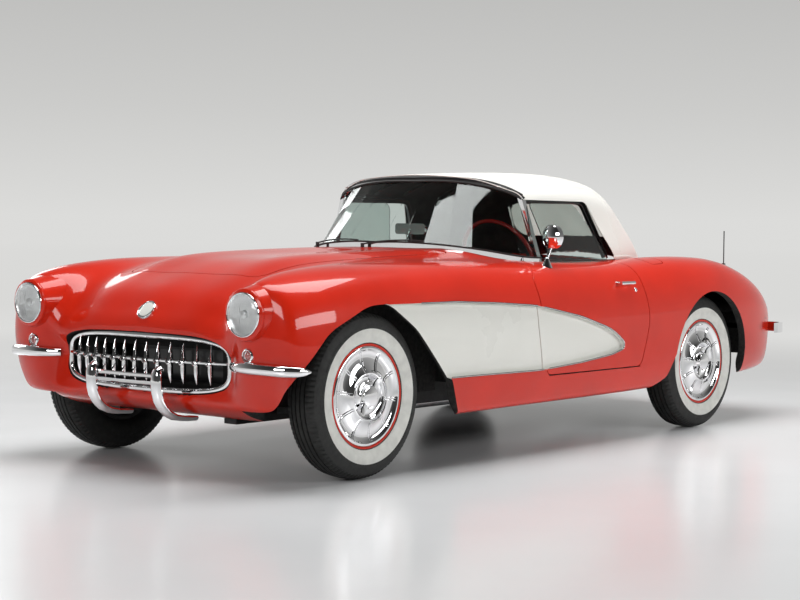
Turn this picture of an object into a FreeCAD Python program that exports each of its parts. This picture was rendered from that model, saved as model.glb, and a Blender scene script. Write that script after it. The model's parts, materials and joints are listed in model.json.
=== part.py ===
"""Two-seat convertible car of the 1950s, as a parametric FreeCAD document.

Millimetres, +X forward, +Y to the car's left, +Z up. The origin is on the ground,
halfway along the car and on its centre plane. Body stations are written as distances
from the front axle at the design size, and station_x, side_y and level_z carry them
to the size that the sheet asks for.
"""

import FreeCAD, Part
import math
import os
import Sketcher

os.makedirs("parts", exist_ok=True)
V = FreeCAD.Vector
doc = FreeCAD.newDocument("Roadster")
sheet = doc.addObject("Spreadsheet::Sheet", "Sizes")


class Size:
    """A length with the sheet formula that gives it."""

    def __init__(self, value, text):
        self.value = float(value)
        self.text = text

    def __add__(self, other):
        other = size(other)
        return Size(self.value + other.value, f"({self.text} + {other.text})")

    def __sub__(self, other):
        other = size(other)
        return Size(self.value - other.value, f"({self.text} - {other.text})")

    def __rsub__(self, other):
        return size(other) - self

    def __mul__(self, other):
        other = size(other)
        return Size(self.value * other.value, f"({self.text} * {other.text})")

    def __truediv__(self, other):
        other = size(other)
        return Size(self.value / other.value, f"({self.text} / {other.text})")

    def __neg__(self):
        return size(0) - self

    __radd__ = __add__
    __rmul__ = __mul__


def size(number):
    """A plain number as a Size."""
    return number if isinstance(number, Size) else Size(number, repr(float(number)))


def cell(alias, value):
    """Write one driving dimension into the sheet under its alias."""
    row = len(cells) + 1
    cells.append(alias)
    sheet.set(f"A{row}", str(value))
    sheet.setAlias(f"A{row}", alias)
    return Size(value, f"Sizes.{alias}")


cells = []

# Overall sizes
overall_length = cell("overall_length", 4267)
overall_width = cell("overall_width", 1791)
overall_height = cell("overall_height", 1290)
belt_height = cell("belt_height", 850)

# Body shell
skin = cell("skin_thickness", 12)
side_wall = cell("side_wall", 38)
cove_depth = cell("cove_depth", 24)
panel_gap = cell("panel_gap", 5)
seat_gap = cell("seat_gap", 0.3)
plate = cell("plate_thickness", 8)
glass = cell("glass_thickness", 5)
cloth = cell("cloth_thickness", 14)

# Wheels
tyre_radius = cell("tyre_radius", 338)
tyre_width = cell("tyre_width", 170)
rim_radius = cell("rim_radius", 206)
bead_radius = cell("bead_radius", 196)
rim_width = cell("rim_width", 132)
drum_radius = cell("drum_radius", 140)
hub_radius = cell("hub_radius", 38)
spindle_radius = cell("spindle_radius", 17)
bearing_gap = cell("bearing_gap", 0.1)
arch_gap = cell("arch_gap", 19)
kingpin_offset = cell("kingpin_offset", 94)

# Chassis
rail_width = cell("rail_width", 70)
rail_depth = cell("rail_depth", 100)
floor_level = cell("floor_level", 318)

DESIGN_LENGTH = 4267.0
DESIGN_WHEELBASE = 2591.0
DESIGN_FRONT_OVERHANG = 650.0
DESIGN_REAR_OVERHANG = 1026.0
DESIGN_WIDTH = 1791.0
DESIGN_BELT = 850.0
DESIGN_HEIGHT = 1290.0
DESIGN_FRONT_TRACK = 1448.0
DESIGN_REAR_TRACK = 1499.0

wheelbase = overall_length * DESIGN_WHEELBASE / DESIGN_LENGTH
front_overhang = overall_length * DESIGN_FRONT_OVERHANG / DESIGN_LENGTH
rear_overhang = overall_length * DESIGN_REAR_OVERHANG / DESIGN_LENGTH
front_axle = overall_length / 2 - front_overhang
rear_axle = front_axle - wheelbase


def station_x(x):
    """Car x of a station written from the front axle at the design size."""
    if x > 0:
        return front_axle + x * front_overhang / DESIGN_FRONT_OVERHANG
    if x > -DESIGN_WHEELBASE:
        return front_axle + x * wheelbase / DESIGN_WHEELBASE
    return rear_axle + (x + DESIGN_WHEELBASE) * rear_overhang / DESIGN_REAR_OVERHANG


def side_y(y):
    """Car y of a design half-width."""
    return y * overall_width / DESIGN_WIDTH


front_track = side_y(DESIGN_FRONT_TRACK)
rear_track = side_y(DESIGN_REAR_TRACK)
rail_spread = side_y(350)


def level_z(z):
    """Car z of a design height: the body up to the belt, the top above it."""
    if z <= DESIGN_BELT:
        return z * belt_height / DESIGN_BELT
    above = (z - DESIGN_BELT) / (DESIGN_HEIGHT - DESIGN_BELT)
    return belt_height + above * (overall_height - belt_height)


def at(x, y, z):
    """Vector of a design point."""
    return V(station_x(x).value, side_y(y).value, level_z(z).value)


def bind(thing, **properties):
    """Set properties and tie each to its sheet formula."""
    for name, value in properties.items():
        value = size(value)
        path = name.replace("_at_", "Placement.Base.")
        if path == name:
            setattr(thing, name, value.value)
        thing.setExpression(path, value.text)
    return thing


def place(thing, x=0, y=0, z=0):
    """Tie an object's place to the sheet."""
    return bind(thing, _at_x=x, _at_y=y, _at_z=z)


def feature(label, shape):
    """Object whose shape is set directly."""
    thing = doc.addObject("Part::Feature", label)
    thing.Shape = shape
    thing.Label = label
    return thing


def box(label, x0, x1, y0, y1, z0, z1):
    """Part::Box between two corners."""
    thing = doc.addObject("Part::Box", label)
    bind(thing, Length=size(x1) - x0, Width=size(y1) - y0, Height=size(z1) - z0)
    return place(thing, x0, y0, z0)


def cylinder(label, radius, start, end, axis):
    """Part::Cylinder along one axis, from start to a coordinate end on it."""
    thing = doc.addObject("Part::Cylinder", label)
    index = "xyz".index(axis)
    bind(thing, Radius=radius, Height=size(end) - start[index])
    turn = {"x": (V(0, 1, 0), 90), "y": (V(1, 0, 0), -90), "z": (V(0, 0, 1), 0)}[axis]
    thing.Placement = FreeCAD.Placement(V(0, 0, 0), FreeCAD.Rotation(*turn))
    return place(thing, *start)


def fuse(label, *things):
    """Part::MultiFuse of several objects."""
    thing = doc.addObject("Part::MultiFuse", label)
    thing.Shapes = list(things)
    thing.Label = label
    return thing


def cut(label, base, *tools):
    """Part::Cut of one object by one or more."""
    thing = doc.addObject("Part::Cut", label)
    thing.Base = base
    thing.Tool = tools[0] if len(tools) == 1 else fuse(label + "_tools", *tools)
    thing.Label = label
    return thing


def common(label, first, second):
    """Part::Common of two objects."""
    thing = doc.addObject("Part::Common", label)
    thing.Base = first
    thing.Tool = second
    thing.Label = label
    return thing


def draw(sketch, outline):
    """Closed sketch: each entry is (u, v) or (u, v, radius) of the run that it starts.

    A positive radius bends round a centre on the left of the run.
    """
    count = len(outline)
    runs = []
    for index, entry in enumerate(outline):
        follow = outline[(index + 1) % count]
        start = V(size(entry[0]).value, size(entry[1]).value, 0)
        end = V(size(follow[0]).value, size(follow[1]).value, 0)
        if len(entry) == 2:
            runs.append((sketch.addGeometry(Part.LineSegment(start, end), False), 1, 2))
            continue
        radius = size(entry[2]).value
        chord = end - start
        left = V(-chord.y, chord.x, 0) / chord.Length
        rise = math.sqrt(max(radius * radius - chord.Length ** 2 / 4, 0.0))
        centre = (start + end) / 2 + left * math.copysign(rise, radius)
        first, last = (start, end) if radius > 0 else (end, start)
        angles = [math.atan2(p.y - centre.y, p.x - centre.x) for p in (first, last)]
        circle = Part.Circle(centre, V(0, 0, 1), abs(radius))
        number = sketch.addGeometry(Part.ArcOfCircle(circle, *angles), False)
        runs.append((number, 1, 2) if radius > 0 else (number, 2, 1))
    for index, (number, first, last) in enumerate(runs):
        after = runs[(index + 1) % count]
        sketch.addConstraint(Sketcher.Constraint("Coincident", number, last, after[0], after[1]))
        entry = outline[index]
        for kind, value in (("DistanceX", size(entry[0])), ("DistanceY", size(entry[1]))):
            rule = Sketcher.Constraint(kind, -1, 1, number, first, value.value)
            sketch.setExpression(f"Constraints[{sketch.addConstraint(rule)}]", value.text)
        if len(entry) == 3:
            value = size(entry[2]) if size(entry[2]).value > 0 else -size(entry[2])
            rule = sketch.addConstraint(Sketcher.Constraint("Radius", number, value.value))
            sketch.setExpression(f"Constraints[{rule}]", value.text)


def sketched(label, plane, outline, name="Outline", body=None):
    """Body with one closed sketch on an origin plane."""
    if body is None:
        body = doc.addObject("PartDesign::Body", label)
        body.Label = label
    sketch = body.newObject("Sketcher::SketchObject", label + name)
    support = [f for f in body.Origin.OriginFeatures if f.Role == plane][0]
    sketch.AttachmentSupport = [(support, "")]
    sketch.MapMode = "FlatFace"
    draw(sketch, outline)
    return body, sketch


def revolved(label, plane, axis, outline):
    """Body turned round one axis of its sketch."""
    body, sketch = sketched(label, plane, outline)
    turn = body.newObject("PartDesign::Revolution", label + "Turn")
    turn.Profile = sketch
    turn.ReferenceAxis = (sketch, [axis])
    turn.Angle = 360
    return body


def padded(label, plane, outline, length, both_ways=False):
    """Body padded from a sketch, along the plane's normal."""
    body, sketch = sketched(label, plane, outline)
    pad = body.newObject("PartDesign::Pad", label + "Pad")
    pad.Profile = sketch
    pad.Midplane = both_ways
    bind(pad, Length=length)
    return body


def skinned(rings):
    """Closed solid whose skin passes smoothly through closed rings of points."""
    columns = len(rings[0])
    around = shared_steps([[ring[i % columns] for i in range(columns + 1)] for ring in rings])
    along = shared_steps([[ring[i] for ring in rings] for i in range(columns)])
    rows = []
    for ring in rings:
        curve = Part.BSplineCurve()
        curve.interpolate(Points=ring, PeriodicFlag=True, Parameters=around)
        curve.segment(curve.FirstParameter, curve.LastParameter)
        rows.append(curve)
    poles = []
    for column in range(rows[0].NbPoles):
        line = Part.BSplineCurve()
        line.interpolate(Points=[row.getPole(column + 1) for row in rows], Parameters=along)
        poles.append(line)
    poles[-1] = poles[0]
    grid = [[line.getPole(i + 1) for line in poles] for i in range(poles[0].NbPoles)]
    surface = Part.BSplineSurface()
    surface.buildFromPolesMultsKnots(
        grid, poles[0].getMultiplicities(), rows[0].getMultiplicities(),
        poles[0].getKnots(), rows[0].getKnots(), False, False, 3, 3)
    first, last = surface.bounds()[:2]
    ends = [Part.Face(Part.Wire([surface.uIso(u).toShape()])) for u in (first, last)]
    shell = Part.Shell([surface.toShape()] + ends)
    shell.sewShape()
    solid = Part.Solid(shell)
    if solid.Volume < 0:
        solid.reverse()
    return solid


def shared_steps(lines):
    """Common parameters for several lines of points, by the square root of their spacing."""
    steps = [0.0]
    for index in range(1, len(lines[0])):
        spans = [(line[index] - line[index - 1]).Length for line in lines]
        steps.append(steps[-1] + math.sqrt(sum(spans) / len(spans)))
    return steps


# Body rings, front to back: x at the centre, x at the fender, x at the bottom, then
# top centre z, hood bulge z, valley z and y, crown y and z, widest y and z,
# lower edge y and z, bottom z
BODY_RINGS = (
    (395, 395, 395, 545, 532, 510, 400, 425, 480, 432, 450, 385, 378, 362),
    (492, 462, 488, 572, 557, 528, 432, 468, 495, 487, 455, 435, 365, 341),
    (498, 474, 490, 590, 576, 548, 450, 490, 512, 512, 455, 455, 345, 322),
    (499, 506, 480, 606, 594, 574, 466, 530, 570, 556, 470, 520, 328, 305),
    (494, 530, 462, 626, 614, 600, 474, 590, 650, 622, 500, 600, 312, 290),
    (484, 528, 440, 645, 634, 624, 476, 618, 720, 700, 520, 665, 302, 276),
    (472, 512, 410, 661, 651, 643, 474, 634, 764, 770, 535, 720, 294, 262),
    (452, 486, 372, 684, 676, 668, 470, 640, 795, 822, 540, 758, 284, 250),
    (416, 440, 330, 726, 718, 712, 466, 640, 815, 846, 540, 786, 268, 240),
    (340, 350, 280, 776, 768, 762, 460, 640, 836, 858, 540, 800, 250, 234),
    (180, 180, 160, 832, 830, 814, 456, 642, 856, 866, 545, 812, 238, 230),
    (0, 0, 0, 872, 876, 848, 456, 645, 866, 868, 550, 818, 232, 226),
    (-300, -300, -300, 890, 899, 872, 456, 648, 869, 862, 555, 822, 228, 222),
    (-650, -650, -650, 903, 909, 890, 456, 652, 869, 856, 560, 826, 228, 222),
    (-1000, -1000, -1000, 918, 914, 902, 456, 660, 864, 866, 565, 828, 230, 224),
    (-1350, -1350, -1350, 912, 906, 895, 460, 670, 856, 872, 570, 832, 232, 226),
    (-1700, -1700, -1700, 896, 890, 880, 470, 680, 852, 878, 575, 836, 234, 228),
    (-2000, -2000, -2000, 884, 877, 864, 480, 690, 857, 884, 580, 840, 238, 232),
    (-2300, -2300, -2300, 870, 861, 848, 490, 700, 870, 892, 590, 842, 244, 238),
    (-2591, -2591, -2591, 850, 840, 832, 500, 705, 869, 895.5, 595, 838, 250, 244),
    (-2850, -2850, -2850, 814, 803, 800, 500, 700, 848, 888, 585, 828, 256, 250),
    (-3100, -3100, -3100, 750, 740, 742, 490, 690, 786, 866, 555, 800, 262, 256),
    (-3300, -3300, -3300, 676, 668, 670, 480, 668, 706, 818, 520, 755, 276, 268),
    (-3400, -3400, -3400, 615, 610, 611, 470, 648, 646, 765, 495, 705, 296, 288),
    (-3465, -3465, -3465, 560, 556, 557, 460, 630, 585, 705, 475, 650, 328, 320),
    (-3510, -3510, -3510, 508, 505, 506, 450, 600, 522, 645, 455, 592, 372, 364),
    (-3532, -3532, -3532, 472, 470, 470, 440, 560, 480, 590, 440, 540, 402, 394),
)
BULGE_Y = 320.0
OPEN_LEVEL = 120.0
CAVITY_RINGS = slice(9, 25)
SIDE_RINGS = slice(10, 20)


def half_ring(row):
    """Design points of one ring, from the top centre down to the bottom centre."""
    xc, xf, xb, mid, bulge, zv, yv, yc, zc, ys, zs, ye, ze, zb = row
    points = [(xc, 0, mid), (xc, BULGE_Y / 2, 0.45 * mid + 0.55 * bulge), (xc, BULGE_Y, bulge)]
    points.append((xc, yv, zv))
    points.append(((xc + xf) / 2, (yv + yc) / 2, zv + 0.62 * (zc - zv)))
    points.append((xf, yc, zc))
    for turn in (30, 62, 90):
        angle = math.radians(turn)
        points.append((xf, yc + (ys - yc) * math.sin(angle) ** 0.85,
                       zs + (zc - zs) * abs(math.cos(angle)) ** 0.85))
    for turn in (35, 65, 90):
        angle = math.radians(turn)
        share = turn / 90.0 * 0.5
        points.append((xf + (xb - xf) * share, ye + (ys - ye) * abs(math.cos(angle)) ** 0.7,
                       zs - (zs - ze) * math.sin(angle) ** 0.95))
    for share in (0.62, 0.3, 0.0):
        points.append((xb, ye * share, zb))
    return points


def ring(row, top_inset=0.0, side_inset=0.0, flat_x=None, open_below=False):
    """Car points of one closed ring from the bottom centre, set in by the given walls."""
    half = [at(*point) for point in half_ring(row)]
    last = len(half) - 1
    inset = []
    for index, point in enumerate(half):
        before = half[index - 1] if index else V(point.x, -half[1].y, half[1].z)
        after = half[index + 1] if index < last else V(point.x, -half[-2].y, half[-2].z)
        run = V(0, after.y - before.y, after.z - before.z)
        wall = side_inset if 6 <= index <= 11 else top_inset
        step = V(0, run.z, -run.y) * (wall / run.Length)
        x = point.x if flat_x is None else flat_x
        inset.append(V(x, point.y + step.y, point.z + step.z))
        if open_below and index > last - 4:
            inset[-1].z = OPEN_LEVEL if index > last - 3 else OPEN_LEVEL * 1.5
    inset[0].y = 0.0
    inset[-1].y = 0.0
    return [V(p.x, -p.y, p.z) for p in inset[:0:-1]] + inset[:-1]


def body_solid(rows, top_inset=0.0, side_inset=0.0, open_below=False):
    """Solid of the body's outer form, or of the form set in by its walls."""
    rings = [ring(row, top_inset, side_inset, None, open_below) for row in rows]
    if top_inset:
        rings[0] = ring(rows[0], top_inset, side_inset, station_x(rows[0][1]).value, open_below)
    return skinned(rings)


def rounded_wire(points, radius=0.0):
    """Closed wire through points, each corner rounded; a point may give its own radius."""
    count = len(points)
    starts = []
    edges = []
    corners = []
    for index, point in enumerate(points):
        corner = point[0]
        before = points[index - 1][0]
        after = points[(index + 1) % count][0]
        reach = point[1] if point[1] is not None else radius
        towards = (before - corner).normalize()
        onwards = (after - corner).normalize()
        half = towards.getAngle(onwards) / 2
        back = reach / math.tan(half) if reach else 0.0
        corners.append((corner + towards * back, corner, corner + onwards * back, reach, half))
    for index, (enter, corner, leave, reach, half) in enumerate(corners):
        if reach:
            bisector = ((enter - corner) + (leave - corner)).normalize()
            middle = corner + bisector * (reach / math.sin(half) - reach)
            edges.append(Part.Arc(enter, middle, leave).toShape())
        follow = corners[(index + 1) % count][0]
        if (follow - leave).Length > 1e-6:
            edges.append(Part.LineSegment(leave, follow).toShape())
    return Part.Wire(edges)


def side_outline(points, grow=0.0):
    """Face in the XZ plane from design (x, z, corner radius) points."""
    wire = rounded_wire([(V(station_x(x).value, 0, level_z(z).value), r) for x, z, r in points])
    face = Part.Face(wire)
    return face.makeOffset2D(grow) if grow else face


def plan_outline(points, grow=0.0):
    """Face in the XY plane from design (x, y, corner radius) points."""
    wire = rounded_wire([(V(station_x(x).value, side_y(y).value, 0), r) for x, y, r in points])
    face = Part.Face(wire)
    return face.makeOffset2D(grow) if grow else face


def side_prism(face, low, high, slant=0.0, level=0.0):
    """Solid from a side outline, between two widths; slant leans it back as it goes out."""
    face = face.copy()
    face.translate(V((level - low) * slant, low, 0))
    return face.extrude(V((low - high) * slant, high - low, 0))


def plan_prism(face, low, high):
    """Solid from a plan outline, between two levels."""
    face = face.copy()
    face.translate(V(0, 0, low))
    return face.extrude(V(0, 0, high - low))


def flip(shape):
    """Mirror image of a shape across the centre plane."""
    return shape.mirror(V(0, 0, 0), V(0, 1, 0))


def box_prism(x0, x1, y0, y1, z0, z1):
    """Plain block between two corners, as a shape."""
    return Part.makeBox(x1 - x0, y1 - y0, z1 - z0, V(x0, y0, z0))


def both(shape):
    """A shape and its mirror image as one tool."""
    return Part.makeCompound([shape, flip(shape)])


# Body cut lines, seen from the side or from above, as design (x, z or y, corner radius)
FRONT_ARCH = ((480, 150, 0), (480, 430, 150), (300, 612, 250), (60, 706, 300), (-90, 712, 160),
              (-265, 597, 260), (-482, 377, 80), (-541, 235, 0), (-541, 150, 0))
REAR_ARCH_FLARE = ((-2040, 150, 0), (-2054, 242, 50), (-2174, 286, 60), (-2262, 420, 0),
                   (-2600, 460, 0), (-2955, 400, 0), (-2957, 150, 0))
COVE = ((0, 708, 0), (-520, 705, 900), (-800, 692, 900), (-1090, 672, 900), (-1425, 612, 900),
        (-1680, 542, 400), (-1814, 455, 24), (-1680, 424, 400), (-1430, 400, 900),
        (-1110, 382, 900), (-810, 384, 900), (-460, 387, 0), (-300, 420, 0), (0, 640, 0))
DOOR = ((-1165, 358, 35), (-1126, 560, 600), (-1110, 776, 70), (-1178, 846, 60), (-1262, 905, 0),
        (-1962, 905, 0), (-1964, 743, 300), (-1992, 574, 220), (-1928, 357, 40))
HOOD = ((222, -392, 70), (222, 392, 70), (-945, 470, 45), (-945, -470, 45))
COCKPIT = ((-1122, 470, 40), (-1235, 566, 90), (-1425, 602, 25), (-1432, 656, 0), (-1980, 656, 60),
           (-2132, 590, 90), (-2132, -590, 90), (-1980, -656, 60), (-1432, -656, 0),
           (-1425, -602, 25), (-1235, -566, 90), (-1122, -470, 40))
DECK_LID = ((-2150, 560, 80), (-2150, -560, 80), (-2696, -470, 80), (-2696, 470, 80))
TRUNK_LID = ((-2716, 440, 60), (-2716, -440, 60), (-3700, -375, 0), (-3700, 375, 0))
TRUNK_REAR = ((-3440, 585), (-3640, 945))
FUEL_DOOR = ((-2150, 690, 22), (-2150, 792, 22), (-2262, 792, 22), (-2262, 690, 22))
DOOR_INSIDE = ((738, 340), (724, 600), (676, 790), (652, 850), (640, 905), (1000, 905), (1000, 340))
FRONT_END_X = -1180
REAR_END_X = -1925
DOOR_BOTTOM = 357

outer_shape = body_solid(BODY_RINGS)
cavity = body_solid(BODY_RINGS[CAVITY_RINGS], skin.value, side_wall.value, True)
cove_floor = body_solid(BODY_RINGS[SIDE_RINGS], cove_depth.value, cove_depth.value)
gap = panel_gap.value
WIDE = 1100.0
HIGH = level_z(845).value * 1.4

cove_tool = side_prism(side_outline(COVE), side_y(500).value, WIDE).cut(cove_floor)
coved = outer_shape.cut(both(cove_tool))
skin_shape = coved.cut(cavity)

rear_hub_x = rear_axle.value - 9
arch_centre = V(rear_hub_x, 0, tyre_radius.value + 3)
arch_radius = (tyre_radius + arch_gap).value
rear_round = Part.makeCylinder(arch_radius, 400, arch_centre + V(0, side_y(560).value, 0), V(0, 1, 0))
rear_flare = side_prism(side_outline(REAR_ARCH_FLARE), side_y(560).value, WIDE)
front_arch = side_prism(side_outline(FRONT_ARCH), side_y(560).value, WIDE)

mouth = box_prism(at(250, 0, 0).x, at(420, 0, 0).x, -side_y(372).value, side_y(372).value,
                  level_z(380).value, level_z(520).value)

# Grille opening: a squared oval, its ring seated in it on studs
RING_HALF_WIDTH = 475.0
RING_HALF_HEIGHT = 108.0
RING_CENTRE_Z = 461
RING_RADIUS = 13
RING_SQUARENESS = 4.3
RECESS_FLOOR = 396


def nose_x(y):
    """Design x of the grille's ring, swept back towards its ends."""
    return 488 - 32 * (y / 475.0) ** 2


def ring_path(half_width, half_height, count=14):
    """Design points (y, z) of the oval's left half, from the top centre down."""
    points = []
    for step in range(count + 1):
        angle = math.pi * (0.5 - step / count)
        y = half_width * abs(math.cos(angle)) ** (2 / RING_SQUARENESS) if 0 < step < count else 0.0
        z = math.copysign(abs(math.sin(angle)) ** (2 / RING_SQUARENESS), math.sin(angle))
        points.append((y, RING_CENTRE_Z + half_height * z))
    return points


def grille_recess():
    """Block of the grille's opening, clear of the ring all round."""
    grow = RING_RADIUS + 0.5
    left = ring_path(RING_HALF_WIDTH + grow, RING_HALF_HEIGHT + grow)
    back = at(RECESS_FLOOR, 0, 0).x
    points = [V(back, side_y(y).value, level_z(z).value) for y, z in left]
    curve = Part.BSplineCurve()
    curve.interpolate(Points=points, InitialTangent=V(0, 1, 0), FinalTangent=V(0, -1, 0))
    half = curve.toShape()
    other = half.mirror(V(0, 0, 0), V(0, 1, 0))
    face = Part.Face(Part.Wire([half, other]))
    return face.extrude(V(at(620, 0, 0).x - back, 0, 0))


grille_opening = grille_recess()
hood_opening = plan_prism(plan_outline(HOOD, gap), level_z(700).value, HIGH)
cockpit = plan_prism(plan_outline(COCKPIT), level_z(400).value, HIGH)
deck_opening = plan_prism(plan_outline(DECK_LID, gap), level_z(700).value, HIGH)


def ahead_of_lip(grow):
    """Block ahead of the trunk lid's slanted rear edge."""
    low, high = [at(x, 0, z) for x, z in TRUNK_REAR]
    way = (high - low).normalize()
    back = V(-way.z, 0, way.x) * grow
    low, high = low - way * 300 + back, high + back
    corners = [low, high, V(0, 0, high.z), V(0, 0, low.z), low]
    face = Part.Face(Part.makePolygon([V(c.x, -WIDE, c.z) for c in corners]))
    return face.extrude(V(0, 2 * WIDE, 0))


trunk_opening = plan_prism(plan_outline(TRUNK_LID, gap), level_z(450).value, HIGH)
trunk_opening = trunk_opening.common(ahead_of_lip(gap))
FUEL_HOLE = ((-2147, 707, 0), (-2147, 775, 0), (-2153.5, 787, 0), (-2172, 787, 0), (-2172, 779, 0),
             (-2249, 779, 12), (-2249, 703, 12), (-2172, 703, 0), (-2172, 695, 0), (-2153.5, 695, 0))
FUEL_DEPTH = 0.7


def below_skin(depth):
    """The coved body moved in under the fuel door's place."""
    moved = coved.copy()
    moved.translate(V(0, -0.35, -1) * depth)
    return moved


fuel_recess = plan_prism(plan_outline(FUEL_DOOR, gap), level_z(800).value, HIGH)
fuel_recess = fuel_recess.cut(below_skin(skin.value * FUEL_DEPTH + seat_gap.value))
fuel_opening = plan_prism(plan_outline(FUEL_HOLE), level_z(800).value, HIGH)


def inside_line(grow):
    """Block outside the door's inner face, moved towards the cabin."""
    points = [V(at(-2080, 0, 0).x, side_y(y).value - (grow if y < 900 else 0),
                level_z(z).value - (grow if z < 350 else 0)) for y, z in DOOR_INSIDE]
    face = Part.Face(Part.makePolygon(points + points[:1]))
    return face.extrude(V(at(-1060, 0, 0).x - at(-2080, 0, 0).x, 0, 0))


DOOR_SLANT = 0.13
skin_line = side_y(868).value
door_prism = side_prism(side_outline(DOOR), side_y(560).value, WIDE, DOOR_SLANT, skin_line)
door_opening = side_prism(side_outline(DOOR, gap), side_y(560).value, WIDE, DOOR_SLANT, skin_line)
door_opening = door_opening.common(inside_line(gap))

body_skin = skin_shape.cut([mouth, hood_opening, cockpit, deck_opening, trunk_opening])
body_skin = body_skin.cut(grille_opening)
body_skin = body_skin.cut([fuel_recess, fuel_opening, door_opening, flip(door_opening)])
body_skin = body_skin.cut([front_arch, flip(front_arch), rear_round, flip(rear_round),
                           rear_flare, flip(rear_flare)])


def lamp_pod(side):
    """Tapered headlamp housing that grows out of the fender's front."""
    base = at(345, 642 * side, 680)
    tip = at(545, 642 * side, 680)
    pod = Part.makeCone(150, 101, tip.x - base.x, base, V(1, 0, 0))
    return pod.cut(front_arch if side > 0 else flip(front_arch))


front_zone = box_prism(at(FRONT_END_X, 0, 0).x, 3000, -WIDE, WIDE, 0, HIGH)
ledge_zone = box_prism(at(-1432, 0, 0).x, 3000, -side_y(652).value, side_y(652).value,
                       level_z(800).value, HIGH)
front_shape = body_skin.common(front_zone.fuse(ledge_zone))
front_shape = front_shape.fuse([lamp_pod(1), lamp_pod(-1)]).removeSplitter()
rear_zone = box_prism(-3000, at(REAR_END_X, 0, 0).x, -WIDE, WIDE, 0, HIGH)
rear_shape = body_skin.common(rear_zone)
sill_zone = box_prism(at(REAR_END_X, 0, 0).x, at(FRONT_END_X, 0, 0).x, side_y(690).value, WIDE,
                      100, level_z(DOOR_BOTTOM).value - gap)
sill = coved.common(sill_zone)

nodes = {}


def node(label, thing):
    """Register a finished sub-part under the name of its file."""
    nodes[label] = thing
    return thing


def solids_of(shape, least=2000.0):
    """Compound of a shape's solids, or its one solid, without slivers."""
    solids = [s for s in shape.Solids if s.Volume > least]
    return solids[0] if len(solids) == 1 else Part.makeCompound(solids)


node("front_body", feature("front_body", solids_of(front_shape)))
node("rear_body", feature("rear_body", solids_of(rear_shape)))
node("sills", feature("sills", solids_of(both(sill))))
hood_shape = skin_shape.common(plan_prism(plan_outline(HOOD), level_z(700).value, HIGH))
node("hood", feature("hood", solids_of(hood_shape)))
deck_shape = skin_shape.common(plan_prism(plan_outline(DECK_LID), level_z(700).value, HIGH))
node("deck_lid", feature("deck_lid", solids_of(deck_shape)))
trunk_shape = skin_shape.common(plan_prism(plan_outline(TRUNK_LID), level_z(450).value, HIGH))
trunk_shape = trunk_shape.common(ahead_of_lip(0))
node("trunk_lid", feature("trunk_lid", solids_of(trunk_shape)))
fuel_shape = skin_shape.common(plan_prism(plan_outline(FUEL_DOOR), level_z(800).value, HIGH))
fuel_shape = fuel_shape.cut(below_skin(skin.value * FUEL_DEPTH))
node("fuel_door", feature("fuel_door", solids_of(fuel_shape)))
door_solid = coved.common(door_prism).common(inside_line(0))

# Raised soft top: design x, then (y, z) down the side from the centre to the hem
TOP_RINGS = (
    (-1238, (0, 1262), (220, 1253), (390, 1228), (500, 1188), (560, 1150), (600, 1000), (640, 835)),
    (-1400, (0, 1273), (220, 1264), (390, 1238), (510, 1195), (566, 1150), (606, 1000), (650, 835)),
    (-1650, (0, 1283), (220, 1273), (390, 1245), (515, 1200), (570, 1150), (612, 1000), (660, 835)),
    (-1900, (0, 1289), (220, 1277), (390, 1246), (512, 1198), (568, 1145), (618, 1000), (666, 835)),
    (-2140, (0, 1284), (210, 1270), (370, 1236), (480, 1180), (540, 1110), (590, 990), (632, 835)),
    (-2270, (0, 1262), (200, 1248), (340, 1215), (440, 1150), (500, 1070), (552, 970), (585, 835)),
    (-2390, (0, 1218), (180, 1204), (310, 1168), (400, 1106), (460, 1030), (515, 950), (540, 825)),
    (-2480, (0, 1156), (165, 1142), (290, 1106), (370, 1046), (430, 980), (480, 915), (500, 820)),
    (-2560, (0, 1060), (150, 1048), (260, 1016), (335, 970), (395, 925), (440, 885), (460, 810)),
    (-2620, (0, 960), (140, 950), (235, 925), (300, 900), (350, 880), (385, 862), (400, 800)),
    (-2660, (0, 886), (120, 880), (200, 872), (250, 862), (290, 850), (315, 838), (330, 795)),
)
TOP_FLOOR = 780
HEADER_PLAN = ((-1378, 562), (-1330, 482), (-1280, 300), (-1264, 0))
HEADER_LIP = 7
SIDE_WINDOW = ((-1190, 830, 0), (-1345, 1146, 30), (-1885, 1142, 45), (-2046, 830, 0))
SIDE_GLASS = ((-1432, 800, 0), (-1402, 1133, 25), (-1775, 1133, 90), (-1928, 845, 30),
              (-1928, 800, 0))
GLASS_LINE = ((690, 790), (686, 845), (638, 1000), (578, 1134))
REAR_WINDOW = ((330, 965, 60), (-330, 965, 60), (-300, 1140, 70), (300, 1140, 70))


def top_ring(row, inset=0.0):
    """Car points of one ring of the soft top, from the bottom centre round."""
    x, *half = row
    points = [at(x, y, z) for y, z in half]
    moved = []
    for index, point in enumerate(points):
        before = points[index - 1] if index else V(point.x, -points[1].y, points[1].z)
        after = points[min(index + 1, len(points) - 1)]
        run = V(0, after.y - before.y, after.z - before.z)
        step = V(0, run.z, -run.y) * (inset / run.Length)
        moved.append(point + step)
    moved[0].y = 0.0
    hem = moved[-1]
    floor = level_z(TOP_FLOOR).value - inset
    moved += [V(hem.x, hem.y * 0.6, floor), V(hem.x, 0, floor)]
    return [V(p.x, -p.y, p.z) for p in moved[:0:-1]] + moved[:-1]


def top_solid(inset=0.0):
    """Solid of the soft top's outside, or of the space under the cloth."""
    rings = [top_ring(row, inset) for row in TOP_RINGS]
    if inset:
        shift = [(inset if i in (0,) else 0) for i in range(len(rings))]
        rings = [[p - V(s, 0, 0) for p in r] for r, s in zip(rings, shift)]
        rings = rings[:-1]
    return skinned(rings)


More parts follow.
